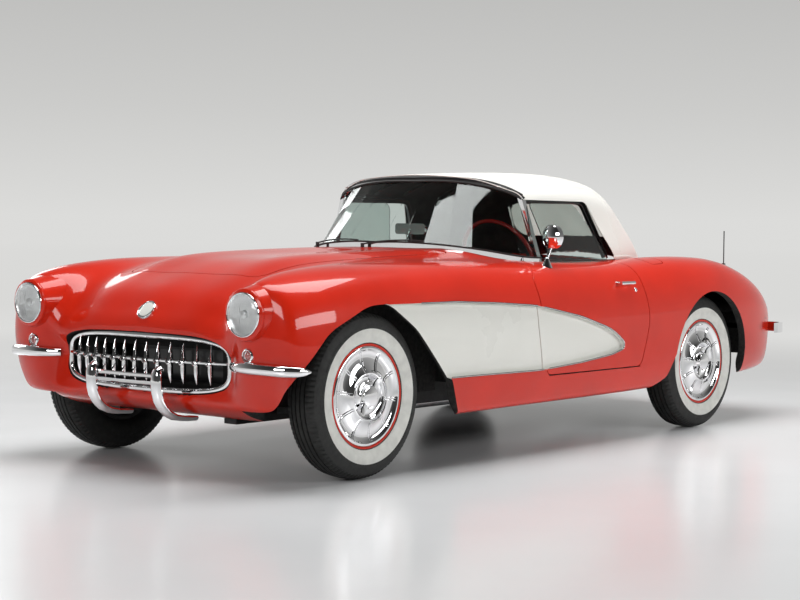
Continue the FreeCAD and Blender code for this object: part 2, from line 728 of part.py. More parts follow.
top_outside = top_solid()
top_inside = top_solid(cloth.value)
header_line = [at(x + HEADER_LIP, y, 0) for x, y in HEADER_PLAN]
header_line += [V(p.x, -p.y, 0) for p in header_line[-2::-1]]
header_curve = Part.BSplineCurve()
header_curve.interpolate(Points=header_line)
header_edges = [header_curve.toShape()] + [Part.LineSegment(a, b).toShape() for a, b in (
    (header_line[-1], V(header_line[-1].x, -WIDE, 0)), (V(header_line[-1].x, -WIDE, 0), V(3000, -WIDE, 0)),
    (V(3000, -WIDE, 0), V(3000, WIDE, 0)), (V(3000, WIDE, 0), V(header_line[0].x, WIDE, 0)),
    (V(header_line[0].x, WIDE, 0), header_line[0]))]
header_cut = plan_prism(Part.Face(Part.Wire(header_edges)), 0, 2 * HIGH)
top_front_cut = box_prism(at(-1400, 0, 0).x, 3000, -WIDE, WIDE, 0, level_z(1140).value)
side_window = side_prism(side_outline(SIDE_WINDOW), side_y(380).value, WIDE)
rear_window_face = Part.Face(rounded_wire(
    [(V(0, side_y(y).value, level_z(z).value), r) for y, z, r in REAR_WINDOW]))
rear_window_hole = rear_window_face.copy()
rear_window_hole.translate(V(at(-2700, 0, 0).x, 0, 0))
rear_window_hole = rear_window_hole.extrude(V(at(-2350, 0, 0).x - at(-2700, 0, 0).x, 0, 0))
lifted_body = outer_shape.copy()
lifted_body.translate(V(0, 0, seat_gap.value))
top_shape = top_outside.cut(top_inside).cut(
    [side_window, flip(side_window), rear_window_hole, top_front_cut, header_cut, lifted_body])
window_pane = top_solid(4.0).cut(top_solid(8.0)).common(rear_window_hole)
node("rear_window", feature("rear_window", solids_of(window_pane)))


def strip(stations, ruled=False):
    """Solid lofted through four-cornered sections."""
    wires = [Part.makePolygon(list(corners) + [corners[0]]) for corners in stations]
    return Part.makeLoft(wires, True, ruled)


def ribbon(points, depth, low, high, ruled=False):
    """Bar along a plan path: depth is set inwards, low and high are about each z."""
    stations = []
    for index, point in enumerate(points):
        before = points[max(index - 1, 0)]
        after = points[min(index + 1, len(points) - 1)]
        run = V(after.x - before.x, after.y - before.y, 0).normalize()
        inward = V(-run.y, run.x, 0) * depth
        stations.append((point + V(0, 0, low), point + inward + V(0, 0, low),
                         point + inward + V(0, 0, high), point + V(0, 0, high)))
    wires = [Part.makePolygon(list(corners) + [corners[0]]) for corners in stations]
    return Part.makeLoft(wires, True, ruled)


def symmetric(points):
    """Design points of one side and their mirror images, left to right."""
    left = [at(*point) for point in points]
    return left + [V(p.x, -p.y, p.z) for p in left[::-1] if p.y > 1e-6]


# Windshield: base and top lines from the left end to the centre
SHIELD_BASE = ((-1402, 650, 862), (-1262, 612, 872), (-1142, 520, 896), (-1040, 300, 922),
               (-1006, 0, 926))
SHIELD_TOP = ((-1378, 562, 1160), (-1330, 482, 1202), (-1280, 300, 1238), (-1264, 0, 1246))
FRAME_DEPTH = 22
base_line = symmetric(SHIELD_BASE)
top_line = symmetric(SHIELD_TOP)
base_bar = ribbon(base_line, -FRAME_DEPTH, -40, 14)
top_bar = ribbon(top_line, -FRAME_DEPTH, -14, 12)


def end_post(side):
    """Post that joins the two bars at one end of the windshield."""
    low = at(-1402, 650, 850)
    high = at(-1378, 562, 1158)
    stations = []
    for point in (low, high):
        x, y, z = point.x, point.y * side, point.z
        stations.append([V(x - 16, y, z), V(x + 12, y, z), V(x + 12, y - 24 * side, z),
                         V(x - 16, y - 24 * side, z)])
    return strip(stations)


def pane_between(low_line, high_line, offset, thickness):
    """Curved pane between two lines of the same ends, set in by offset."""
    stations = []
    count = 15
    for step in range(count):
        share = step / (count - 1)
        low, low_run = line_point(low_line, share)
        high, high_run = line_point(high_line, share)
        run = (low_run + high_run).normalize()
        inward = V(run.y, -run.x, 0)
        near, far = inward * offset, inward * (offset + thickness)
        stations.append((low + near, low + far, high + far, high + near))
    return strip(stations, True)


def line_point(line, share):
    """Point and plan direction at a share of a smooth line's length."""
    curve = Part.BSplineCurve()
    curve.interpolate(Points=line)
    edge = curve.toShape()
    at_param = edge.getParameterByLength(edge.Length * share)
    run = edge.tangentAt(at_param)
    return edge.valueAt(at_param), V(run.x, run.y, 0).normalize()


shield_pane = pane_between(base_line, top_line, 8, glass.value)
frame_shape = base_bar.fuse([top_bar, end_post(1), end_post(-1)])
frame_shape = frame_shape.cut(shield_pane).cut(outer_shape)
node("windshield_frame", feature("windshield_frame", solids_of(frame_shape)))
node("windshield_glass", feature("windshield_glass", solids_of(shield_pane.cut(outer_shape))))

# Soft top clears the frame that it lands on
frame_room = ribbon(top_line, -FRAME_DEPTH, -60, 12.3)
top_shape = top_shape.cut([frame_room, end_post(1), end_post(-1)])
node("soft_top", feature("soft_top", solids_of(top_shape, 50000.0)))


def side_glass_pane(side):
    """Raised side window, leaning in towards the top."""
    points = [V(0, side_y(y).value, level_z(z).value) for y, z in GLASS_LINE]
    line = Part.BSplineCurve()
    line.interpolate(Points=points)
    inner = [p - V(0, glass.value, 0) for p in points]
    back = Part.BSplineCurve()
    back.interpolate(Points=inner)
    edges = [line.toShape(), Part.LineSegment(points[-1], inner[-1]).toShape(),
             back.toShape(), Part.LineSegment(inner[0], points[0]).toShape()]
    face = Part.Face(Part.Wire(Part.__sortEdges__(edges)))
    face.translate(V(at(-2000, 0, 0).x, 0, 0))
    pane = face.extrude(V(at(-1380, 0, 0).x - at(-2000, 0, 0).x, 0, 0))
    pane = pane.common(side_prism(side_outline(SIDE_GLASS), 0, WIDE))
    return pane if side > 0 else flip(pane)


left_pane = side_glass_pane(1)
door_shape = solids_of(door_solid.cut(left_pane))
for side, turn in (("left", lambda s: s), ("right", flip)):
    node(f"door_{side}", feature(f"door_{side}", turn(door_shape)))
    node(f"door_glass_{side}", feature(f"door_glass_{side}", turn(left_pane)))

# Handles: a bar on two feet behind the door's middle
HANDLE_X = -1800
HANDLE_Z = 757


def door_handle():
    """Pull handle of the left door, seated on its skin."""
    y = side_y(878).value
    bar = Part.makeCylinder(8, 118, at(HANDLE_X - 59, 0, HANDLE_Z) + V(0, y, 0), V(1, 0, 0))
    feet = [Part.makeCylinder(7, 60, at(HANDLE_X + dx, 0, HANDLE_Z) + V(0, y - 60, 0), V(0, 1, 0))
            for dx in (-48, 48)]
    return bar.fuse(feet).cut(outer_shape)


handle_shape = solids_of(door_handle(), 500.0)
for side, turn in (("left", lambda s: s), ("right", flip)):
    node(f"door_handle_{side}", feature(f"door_handle_{side}", turn(handle_shape)))

# Door mirror of the left door: a round head on a flared stand
MIRROR_FOOT = (-1318, 745, 832)
MIRROR_HEAD = (-1343, 752, 975)
MIRROR_RADIUS = 55
MIRROR_DEPTH = 44
DOME_RADIUS = 92
STAND_HEIGHT = 42
foot = at(*MIRROR_FOOT)
head = at(*MIRROR_HEAD)
neck_start = foot + V(0, 0, STAND_HEIGHT)
neck_way = head - V(0, 0, MIRROR_RADIUS - 8) - neck_start
stand = Part.makeCone(27, 9, STAND_HEIGHT, foot, V(0, 0, 1))
stand = stand.fuse([Part.makeSphere(9, neck_start),
                    Part.makeCylinder(7, neck_way.Length, neck_start, neck_way)])
facing = V(-0.985, 0.17, 0).normalize()
front_pole = head - facing * (MIRROR_DEPTH / 2)
shell = Part.makeSphere(DOME_RADIUS, front_pole + facing * DOME_RADIUS)
shell = shell.common(Part.makeCylinder(MIRROR_RADIUS, MIRROR_DEPTH, front_pole, facing))
shell = shell.cut(Part.makeCylinder(MIRROR_RADIUS - 5, 10, front_pole + facing * (MIRROR_DEPTH - 4), facing))
mirror_shape = shell.fuse(stand).cut(outer_shape)
node("door_mirror", feature("door_mirror", solids_of(mirror_shape)))


def wiper(pivot, end):
    """Wiper arm with its blade, lying along the low edge of the windshield."""
    spot = at(*pivot, 918)
    post = Part.makeCylinder(9, 48, spot - V(0, 0, 30), V(0, 0, 1)).cut(outer_shape)
    post = max(post.Solids, key=lambda s: s.CenterOfMass.z)
    run = [at(pivot[0] + (end[0] - pivot[0]) * share, pivot[1] + (end[1] - pivot[1]) * share, z)
           for share, z in ((0.0, 930), (0.3, 945), (0.65, 952), (1.0, 950))]
    return post.fuse(ribbon(run, -5, -3, 4))


wipers = [wiper((-985, -85), (-1016, 265)), wiper((-1050, -430), (-998, -120))]
node("wipers", feature("wipers", Part.makeCompound([s for w in wipers for s in w.Solids])))

# Aerial on the left rear fender
AERIAL_FOOT = (-3040, 690, 780)
aerial_foot = at(*AERIAL_FOOT)
aerial = Part.makeCone(15, 9, 40, aerial_foot + V(0, 0, 10), V(0, 0, 1)).fuse(
    Part.makeCylinder(3, 221, aerial_foot, V(0, 0, 1))).cut(outer_shape)
node("aerial", feature("aerial", max(aerial.Solids, key=lambda s: s.CenterOfMass.z)))

# Wheels
half_track = {"front": front_track / 2, "rear": rear_track / 2}
axle_x = {"front": front_axle, "rear": rear_axle}
half_tyre = tyre_width / 2
half_rim = rim_width / 2


def tyre(label, x, y):
    """Tyre turned from its section."""
    crown = half_tyre * 0.72
    bend = (crown * crown + 36) / 12
    outline = (
        (-crown, tyre_radius - 6, -bend), (size(0), tyre_radius, -bend), (crown, tyre_radius - 6, -22),
        (half_tyre - 8, tyre_radius - 26, -85), (half_rim - 6, rim_radius + 4),
        (half_rim - 12, bead_radius + seat_gap), (-half_rim + 12, bead_radius + seat_gap),
        (-half_rim + 6, rim_radius + 4, -85), (-half_tyre + 8, tyre_radius - 26, -22))
    body = revolved(label, "YZ_Plane", "H_Axis", outline)
    return place(body, x, y, tyre_radius)


def wheel(label, x, y, side):
    """Rim, disc, drum and cover turned from their sections; v is the radius."""
    lip = half_rim
    outline = (
        (-lip * 1.0, rim_radius), (-lip + 7, rim_radius), (-lip + 10, bead_radius),
        (lip - 10, bead_radius), (lip - 7, rim_radius), (lip, rim_radius),
        (lip - 2, bead_radius - 6), (lip - 18, bead_radius - 18), (lip - 20, bead_radius - 46),
        (lip - 8, drum_radius * 0.6), (lip - 2, hub_radius + 6), (lip - 2, 0.0),
        (4, 0.0), (4, spindle_radius + bearing_gap),
        (-lip + 4, spindle_radius + bearing_gap), (-lip + 4, hub_radius),
        (-22, hub_radius), (-22, drum_radius - 12), (-lip + 4, drum_radius - 12),
        (-lip + 4, drum_radius), (-8, drum_radius), (-8, bead_radius - 26),
        (-lip + 20, bead_radius - 10), (-lip + 2, bead_radius - 6))
    outline = tuple((u * side, v) for u, v in outline)
    body = revolved(label, "YZ_Plane", "H_Axis", outline if side > 0 else outline[::-1])
    return place(body, x, y, tyre_radius)


for end in ("front", "rear"):
    for side_name, side in (("left", 1), ("right", -1)):
        corner = f"{end}_{side_name}"
        y = half_track[end] * side
        node(f"tyre_{corner}", tyre(f"tyre_{corner}", axle_x[end], y))
        node(f"wheel_{corner}", wheel(f"wheel_{corner}", axle_x[end], y, side))

# Front knuckles: kingpin block, spindle and steering arm
KNUCKLE_HALF = 22
KINGPIN_RADIUS = 11
kingpin_y = half_track["front"] - kingpin_offset
spindle_end = half_track["front"] + 2
for side_name, side in (("left", 1), ("right", -1)):
    name = f"knuckle_{side_name}"
    block = box(name + "_block", front_axle - KNUCKLE_HALF, front_axle + KNUCKLE_HALF,
                kingpin_y * side - KNUCKLE_HALF, kingpin_y * side + KNUCKLE_HALF,
                tyre_radius - 62, tyre_radius + 82)
    near = kingpin_y * side
    far = spindle_end * side
    low, high = (near, far) if side > 0 else (far, near)
    spindle = cylinder(name + "_spindle", spindle_radius, (front_axle, low, tyre_radius), high, "y")
    pin = cylinder(name + "_pin", KINGPIN_RADIUS, (front_axle, near, tyre_radius - 96),
                   tyre_radius + 112, "z")
    arm = box(name + "_arm", front_axle - 150, front_axle, kingpin_y * side - 14,
              kingpin_y * side + 14, tyre_radius - 50, tyre_radius - 28)
    node(name, fuse(name, block, spindle, pin, arm))

# Chassis: two rails with a kick over the rear axle, and cross members
rail_top = floor_level
rail_low = floor_level - rail_depth
kick = cell("rear_kick", 165)
rail_profile = (
    (station_x(330), rail_low), (station_x(330), rail_top), (station_x(-2330), rail_top),
    (station_x(-2430), rail_top + kick), (station_x(-2760), rail_top + kick),
    (station_x(-2860), rail_top + 40), (station_x(-3330), rail_top + 40),
    (station_x(-3330), rail_low + 80), (station_x(-2880), rail_low + 80),
    (station_x(-2780), rail_low + kick), (station_x(-2410), rail_low + kick),
    (station_x(-2310), rail_low))
# Design x where the rail's straight, rising, raised, falling and tail sections meet
RAIL_JOINTS = (-2320, -2420, -2770, -2870)
rails = []
for side_name, side in (("left", 1), ("right", -1)):
    rail = padded(f"rail_{side_name}", "XZ_Plane", rail_profile, rail_width, True)
    rails.append(place(rail, 0, rail_spread * side, 0))
inner_reach = rail_spread - rail_width / 2
members = []
for name, x, low, high in (("nose", 240, rail_top - 52, rail_top), ("axle", 0, rail_low, rail_top - 12),
                           ("waist", -900, rail_top - 52, rail_top),
                           ("seat", -2100, rail_top - 52, rail_top),
                           ("tail", -3250, rail_top - 20, rail_top + 40)):
    members.append(box(f"member_{name}", station_x(x) - 45, station_x(x) + 45,
                       seat_gap - inner_reach, inner_reach - seat_gap, low, high))
towers = [box(f"tower_{name}", front_axle - 70, front_axle + 70, (rail_spread + 5) * side - 26,
              (rail_spread + 5) * side + 26, rail_top + seat_gap, tyre_radius + 112)
          for name, side in (("left", 1), ("right", -1))]
frame_raw = fuse("chassis_raw", *rails, *members, *towers)
tie_radius = cell("tie_down_radius", 9)
tie_holes = []
for end_name, x in (("front", 285), ("rear", -3290)):
    for side_name, side in (("left", 1), ("right", -1)):
        tie_holes.append(cylinder(f"tie_down_{end_name}_{side_name}", tie_radius,
                                  (station_x(x), rail_spread * side, rail_low - 20), rail_top + 60, "z"))
rail_cuts = [box(f"rail_cut_{-x}", station_x(x), station_x(x) + seat_gap, -rail_spread - rail_width,
                 rail_spread + rail_width, rail_low - 20, rail_top + kick + 20) for x in RAIL_JOINTS]
node("chassis_frame", cut("chassis_frame", frame_raw, *tie_holes, *rail_cuts))

# Wishbones: an upper and a lower arm each side, with eyes round the kingpin
inner_arm = rail_spread + rail_width / 2
arms = []
kingpin_bores = []
for side_name, side in (("left", 1), ("right", -1)):
    for level_name, low, high in (("lower", tyre_radius - 92, tyre_radius - 64),
                                  ("upper", tyre_radius + 84, tyre_radius + 108)):
        label = f"wishbone_{level_name}_{side_name}"
        root = inner_arm if level_name == "lower" else rail_spread + 31
        outline = (
            (front_axle + 95, root * side), (front_axle + 26, kingpin_y * side),
            (front_axle, (kingpin_y + 26) * side), (front_axle - 26, kingpin_y * side),
            (front_axle - 95, root * side), (front_axle - 60, root * side),
            (front_axle, (kingpin_y - 70) * side), (front_axle + 60, root * side))
        plate_pad = padded(label, "XY_Plane", outline, high - low)
        arms.append(place(plate_pad, 0, 0, low))
    kingpin_bores.append(cylinder(
        f"kingpin_bore_{side_name}", size(KINGPIN_RADIUS) + bearing_gap,
        (front_axle, kingpin_y * side, tyre_radius - 120), tyre_radius + 130, "z"))
node("wishbones", cut("wishbones", fuse("wishbones_raw", *arms), *kingpin_bores))

# Rear axle: tube, banjo and stub ends
axle_reach = half_track["rear"] - half_rim - 2
rear_tube = cylinder("axle_tube", 40, (rear_axle, -axle_reach, tyre_radius), axle_reach, "y")
stub = cylinder("axle_stubs", spindle_radius, (rear_axle, -(half_track["rear"] + 2), tyre_radius),
                half_track["rear"] + 2, "y")
banjo = cylinder("axle_banjo", 118, (rear_axle - 90, 0, tyre_radius), rear_axle + 80, "x")
node("rear_axle", fuse("rear_axle", rear_tube, stub, banjo))

# Leaf springs: a bowed strip under the axle on each side, with its hangers
spring_y = side_y(440)
spring_list = []
for side_name, side in (("left", 1), ("right", -1)):
    bow = (
        (station_x(-2050), rail_low + 30), (station_x(-2050), rail_low + 52, -2600),
        (rear_axle, tyre_radius - 40, -2600), (station_x(-3060), rail_top - 10),
        (station_x(-3060), rail_top - 32, 2600), (rear_axle, tyre_radius - 62, 2600))
    leaf = padded(f"leaf_{side_name}", "XZ_Plane", bow, 46, True)
    spring_list.append(place(leaf, 0, spring_y * side, 0))
    for tag, x, low in (("fore", -2050, rail_low + 30), ("aft", -3060, rail_top - 32)):
        first = rail_spread + rail_width / 2 if side > 0 else -spring_y - 23
        last = spring_y + 23 if side > 0 else -(rail_spread + rail_width / 2)
        spring_list.append(box(f"hanger_{tag}_{side_name}", station_x(x) - 22, station_x(x) + 22,
                               first, last, low, low + 60))
node("leaf_springs", fuse("leaf_springs", *spring_list))

# Engine, radiator
engine_block = box("engine", station_x(-470), station_x(90), -230, 230, rail_top - 12, level_z(735))
node("engine", engine_block)
radiator = box("radiator", station_x(215), station_x(262), -310, 310, rail_top, level_z(700))
node("radiator", radiator)

# Underbody: floors, walls and wheelhouses, trimmed to the cavity
inside = feature("body_cavity", cavity)


FIRE_WALL_X = -905
REAR_WALL_X = -2148
TUNNEL_HALF = 84
TUNNEL_HEIGHT = 130
WHEELHOUSE_Y = 600
WHEELHOUSE_REAR_X = -2975
TRUNK_REAR_X = -3420
TRUNK_WALL_FRONT_X = -2800
floor_top = floor_level + plate
pan_level = rail_top + kick
pan_top = pan_level + plate
wall_top = level_z(1000)
fire_wall_x = station_x(FIRE_WALL_X)
rear_wall_x = station_x(REAR_WALL_X)
full = side_y(900)
house_y = side_y(WHEELHOUSE_Y)
sheets = {
    "floor_pan": box("floor_pan", rear_wall_x + plate + seat_gap, fire_wall_x - seat_gap, -full, full,
                     floor_level, floor_top),
    "fire_wall": box("fire_wall", fire_wall_x, fire_wall_x + plate, -full, full, floor_level, wall_top),
    "rear_wall": box("rear_wall", rear_wall_x, rear_wall_x + plate, -full, full, floor_level, wall_top),
    "tunnel": box("tunnel", rear_wall_x + plate + seat_gap, fire_wall_x - seat_gap,
                  -side_y(TUNNEL_HALF), side_y(TUNNEL_HALF), floor_top + seat_gap,
                  floor_top + TUNNEL_HEIGHT),
    "trunk_pan": box("trunk_pan", station_x(TRUNK_REAR_X), rear_wall_x - seat_gap,
                     seat_gap - house_y, house_y - seat_gap, pan_level, pan_top)}
for side_name, side in (("left", 1), ("right", -1)):
    for tag, x0, x1, y, thick, low, high in (
            ("apron", fire_wall_x + plate + seat_gap, station_x(330), side_y(424), plate,
             floor_level - 40, wall_top),
            ("wheelhouse", station_x(WHEELHOUSE_REAR_X), rear_wall_x - seat_gap, house_y, plate,
             floor_level, wall_top),
            ("trunk_wall", station_x(-3330), station_x(TRUNK_WALL_FRONT_X), side_y(380), plate,
             pan_top + seat_gap, wall_top),
            ("quarter_pan", station_x(TRUNK_REAR_X), station_x(WHEELHOUSE_REAR_X) - seat_gap, house_y,
             full - house_y, pan_level, pan_top)):
        y0, y1 = (y, y + thick) if side > 0 else (-y - thick, -y)
        sheets[f"{tag}_{side_name}"] = box(f"{tag}_{side_name}", x0, x1, y0, y1, low, high)
outside_wall = box_prism(-3000, 3000, (house_y + plate).value, WIDE, 0, HIGH)
sill_room = box_prism(at(REAR_END_X, 0, 0).x, at(FRONT_END_X, 0, 0).x,
                      side_y(690).value - seat_gap.value, WIDE, 0, level_z(DOOR_BOTTOM).value)
room_shapes = [front_arch, rear_round.common(outside_wall), rear_flare.common(outside_wall),
               door_opening, sill_room]
rooms = [feature(f"room_{index}", both(shape)) for index, shape in enumerate(room_shapes)]
rooms.append(box("axle_room", rear_axle - 60, rear_axle + 60, -side_y(620), side_y(620),
                 floor_level - 10, tyre_radius + 60))
rooms.append(box("wishbone_room", front_axle - 115, front_axle + 115, -side_y(440), side_y(440),
                 tyre_radius + 76, tyre_radius + 118))
sheet_solids = fuse("underbody_sheets", *sheets.values())
node("underbody", cut("underbody", common("underbody_trimmed", sheet_solids, inside), *rooms))

# Dash, seats and steering
dash_profile = (
    (station_x(-1128), level_z(640)), (station_x(-1128), level_z(880), -60),
    (station_x(-1195), level_z(868), -70), (station_x(-1228), level_z(800), 90),
    (station_x(-1190), level_z(700)), (station_x(-1196), level_z(640)))
dash = padded("dash_roll", "XZ_Plane", dash_profile, side_y(1190), True)
dash_room = common("dashboard_trimmed", dash, inside)
door_room_dash = feature("door_room_dash", both(door_opening))


def seat(label, y):
    """Bucket seat: cushion and back drawn from the side."""
    outline = (
        (station_x(-1530), floor_top + seat_gap), (station_x(-1500), level_z(470), -60),
        (station_x(-1560), level_z(540), -900), (station_x(-1900), level_z(490), 60),
        (station_x(-1935), level_z(530)), (station_x(-2010), level_z(850), -55),
        (station_x(-2100), level_z(862), -60), (station_x(-2118), level_z(820)),
        (station_x(-2040), level_z(450)), (station_x(-2000), floor_top + seat_gap))
    body = padded(label, "XZ_Plane", outline, side_y(500), True)
    return place(body, 0, y, 0)


node("seat_left", seat("seat_left", side_y(340)))
node("seat_right", seat("seat_right", -side_y(340)))

STEER_CENTRE = at(-1492, 345, 862)
STEER_TILT = math.radians(24)
steer_axis = V(math.cos(STEER_TILT), 0, -math.sin(STEER_TILT))


def along_column(distance):
    """Point on the steering column, ahead of the wheel's centre."""
    return STEER_CENTRE + steer_axis * distance


COLUMN_RADIUS = 24
column = Part.makeCylinder(COLUMN_RADIUS, 1000, along_column(70), steer_axis)
column = column.cut(box_prism(fire_wall_x.value, 3000, -WIDE, WIDE, 0, HIGH))
column_room = Part.makeCylinder(COLUMN_RADIUS, 1000, along_column(60), steer_axis)
node("dashboard", cut("dashboard", dash_room, door_room_dash, feature("column_room", column_room)))
column = column.cut(Part.makeCylinder(10.1, 700, along_column(0), steer_axis))
rim = Part.makeTorus(200, 10.5, STEER_CENTRE, steer_axis)
hub = Part.makeCone(44, 30, 60, along_column(-12), steer_axis)
shaft = Part.makeCylinder(10, 400, along_column(20), steer_axis)
across = steer_axis.cross(V(0, 1, 0))
spokes = []
for angle in (0, 90, 180):
    radians = math.radians(angle)
    way = V(0, 1, 0) * math.cos(radians) - across * math.sin(radians)
    spokes.append(Part.makeCylinder(8, 180, along_column(12) + way * 16, way))
wheel_shape = rim.fuse([hub, shaft] + spokes)
node("steering_wheel", feature("steering_wheel", solids_of(wheel_shape)))
node("steering_column", feature("steering_column", solids_of(column)))

# Inner mirror on its stem, which stands on the dash
INNER_MIRROR = (-1244, 0, 1003)
STEM_FOOT = (-1161, 0, 862)
mirror_spot = at(*INNER_MIRROR)
stem_foot = at(*STEM_FOOT)
inner_head = box_prism(mirror_spot.x - 7, mirror_spot.x + 7, -92, 92,
                       mirror_spot.z - 26, mirror_spot.z + 26)
inner_head = inner_head.makeFillet(14, [e for e in inner_head.Edges
                                        if abs(e.tangentAt(e.FirstParameter).x) > 0.9])
stem = Part.makeCylinder(5, (mirror_spot - stem_foot).Length - 2, stem_foot, mirror_spot - stem_foot)
stem = stem.fuse(Part.makeCylinder(13, 20, stem_foot, V(0, 0, 1)))
mirror_raw = feature("inner_mirror_raw", solids_of(inner_head.fuse(stem)))
node("inner_mirror", cut("inner_mirror", mirror_raw, dash_room))

# Nose: grille ring, bar and teeth
TOOTH_PITCH = 65
TOOTH_COUNT = 6
BAR_Z = 475
TOOTH_LOW = 386
TOOTH_HIGH = 549


def tooth_x(y):
    """Design x of the bar that carries the teeth, bowed ahead of the ring."""
    return 530 - 72 * (y / 500.0) ** 2


def ring_tube():
    """Round bar along the opening's oval."""
    points = [at(nose_x(y), y, z) for y, z in ring_path(RING_HALF_WIDTH, RING_HALF_HEIGHT)]
    curve = Part.BSplineCurve()
    curve.interpolate(Points=points, InitialTangent=V(0, 1, 0), FinalTangent=V(0, -1, 0))
    section = Part.Wire([Part.Circle(points[0], V(0, 1, 0), RING_RADIUS).toShape()])
    half = Part.Wire([curve.toShape()]).makePipeShell([section], True, False)
    return half.fuse(flip(half)).removeSplitter()


def ring_studs():
    """Studs from the ring's back to the floor of the opening."""
    floor_x = at(RECESS_FLOOR, 0, 0).x + seat_gap.value
    studs = []
    for y, up in ((0, 1), (330, 1), (-330, 1), (0, -1), (330, -1), (-330, -1)):
        bend = (1 - abs(y / RING_HALF_WIDTH) ** RING_SQUARENESS) ** (1 / RING_SQUARENESS)
        end = at(nose_x(y), y, RING_CENTRE_Z + up * RING_HALF_HEIGHT * bend)
        studs.append(Part.makeCylinder(7, end.x - floor_x, V(floor_x, end.y, end.z), V(1, 0, 0)))
    return studs


# Half section of a tooth: radius and height from its low tip, with the flared collar at the bar
TOOTH_SECTION = ((0, 0), (3, 6), (7.5, 30), (11, 55), (12, 72), (9, 84), (19, 95), (19, 99), (10, 101),
                 (9.5, 122), (7, 146), (2.5, 160), (0, 163))


def tooth(y):
    """Grille tooth: a long spindle with a flared collar where the bar passes."""
    foot = at(tooth_x(y), y, TOOTH_LOW)
    tall = (level_z(TOOTH_HIGH) - level_z(TOOTH_LOW)).value / TOOTH_SECTION[-1][1]
    points = [V(r, 0, up * tall) for r, up in TOOTH_SECTION]
    face = Part.Face(Part.makePolygon(points + points[:1]))
    solid = face.revolve(V(0, 0, 0), V(0, 0, 1), 360)
    solid.translate(foot)
    return solid


grille_ring = ring_tube()
node("grille_surround", feature("grille_surround", solids_of(grille_ring.fuse(ring_studs()))))
BAR_END = 466.1
bar = ribbon([at(tooth_x(y), y, BAR_Z) for y in (BAR_END, 370, 278, 185, 93, 0, -93, -185, -278, -370, -BAR_END)],
             -10, -5, 5)
bar.translate(V(5, 0, 0))
grille = bar.fuse([tooth(TOOTH_PITCH * index) for index in range(-TOOTH_COUNT, TOOTH_COUNT + 1)])
node("grille_teeth", feature("grille_teeth", solids_of(grille)))

# Lamps
lamps = []
for side in (1, -1):
    spot = at(545, 642 * side, 680)
    lamps.append(Part.makeCylinder(92, 16, spot, V(1, 0, 0)).fuse(
        Part.makeSphere(130, spot + V(-86, 0, 0)).common(
            Part.makeCylinder(84, 70, spot, V(1, 0, 0)))))
    spot = at(505, 641 * side, 520)
    park = Part.makeCylinder(30, 40, spot, V(1, 0, 0)).cut(outer_shape)
    lamps.append(max(park.Solids, key=lambda s: s.CenterOfMass.x))
node("front_lamps", feature("front_lamps", Part.makeCompound(lamps)))

# Bumpers: blades that wrap the corners, guards and a pair of strips between them
GUARD_Y = 195
GUARD_OUTER = ((376, 227), (490, 232), (578, 284), (606, 350), (612, 418))
GUARD_INNER = ((556, 404), (552, 350), (528, 312), (440, 276), (366, 268))


def guard_bar(side):
    """Front guard: a bar bent from under the valance up to its rounded head."""
    outer = Part.BSplineCurve()
    outer.interpolate(Points=[at(x, GUARD_Y * side, z) for x, z in GUARD_OUTER])
    inner = Part.BSplineCurve()
    inner.interpolate(Points=[at(x, GUARD_Y * side, z) for x, z in GUARD_INNER])
    head = Part.Arc(outer.EndPoint, at(586, GUARD_Y * side, 462), inner.StartPoint)
    edges = [outer.toShape(), head.toShape(), inner.toShape(),
             Part.LineSegment(inner.EndPoint, outer.StartPoint).toShape()]
    face = Part.Face(Part.Wire(edges))
    face.translate(V(0, -33, 0))
    solid = face.extrude(V(0, 66, 0))
    rounded_edges = [e for e in solid.Edges if abs(e.tangentAt(e.FirstParameter).y) < 0.5]
    return solid.makeFillet(14, rounded_edges)


front_blade = ribbon([at(*p) for p in (
    (488, 497, 470), (534, 556, 470), (556, 645, 470), (540, 730, 469), (484, 796, 466),
    (392, 838, 462))], 20, -24, 18)
front_parts = [front_blade.cut(outer_shape), flip(front_blade.cut(outer_shape))]
strips = [ribbon([at(x, y, z) for x, y in ((584, 190), (592, 95), (594, 0), (592, -95), (584, -190))],
                 10, -8, 8) for z in (416, 388)]
bumper = guard_bar(1).fuse([guard_bar(-1)] + strips).cut(outer_shape)
front_parts.append(bumper)
front_bumper_shape = Part.makeCompound([s for p in front_parts for s in p.Solids])
node("front_bumper", feature("front_bumper", front_bumper_shape))


def rear_guard():
    """Rear guard of one side: an upright with a rounded back."""
    base = at(-3617, 0, 0).x
    face = Part.Face(rounded_wire([(V(base, side_y(340).value + y, level_z(z).value), r) for y, z, r in (
        (-40, 392, 14), (40, 392, 14), (34, 545, 30), (-34, 545, 30))]))
    solid = face.extrude(V(at(-3490, 0, 0).x - base, 0, 0))
    back = [e for e in solid.Edges if abs(e.CenterOfMass.x - base) < 1]
    return solid.makeFillet(16, back)


rear_blade = ribbon([at(*p) for p in (
    (-3555, 330, 470), (-3560, 450, 470), (-3550, 600, 472), (-3520, 720, 476), (-3440, 830, 480),
    (-3300, 880, 482))], -20, -26, 26)
rear_half = rear_blade.fuse(rear_guard()).cut(outer_shape)
rear_parts = [s for s in both(rear_half).Solids if s.Volume > 1e5]
node("rear_bumper", feature("rear_bumper", Part.makeCompound(rear_parts)))
tail_lamps = []
for side in (1, -1):
    lamp = Part.makeCylinder(48, 120, at(-3480, 640 * side, 560) + V(-60, 0, 0), V(1, 0, 0))
    lamp = lamp.cut(outer_shape)
    tail_lamps.append(min(lamp.Solids, key=lambda s: s.CenterOfMass.x))
node("tail_lamps", feature("tail_lamps", Part.makeCompound(tail_lamps)))

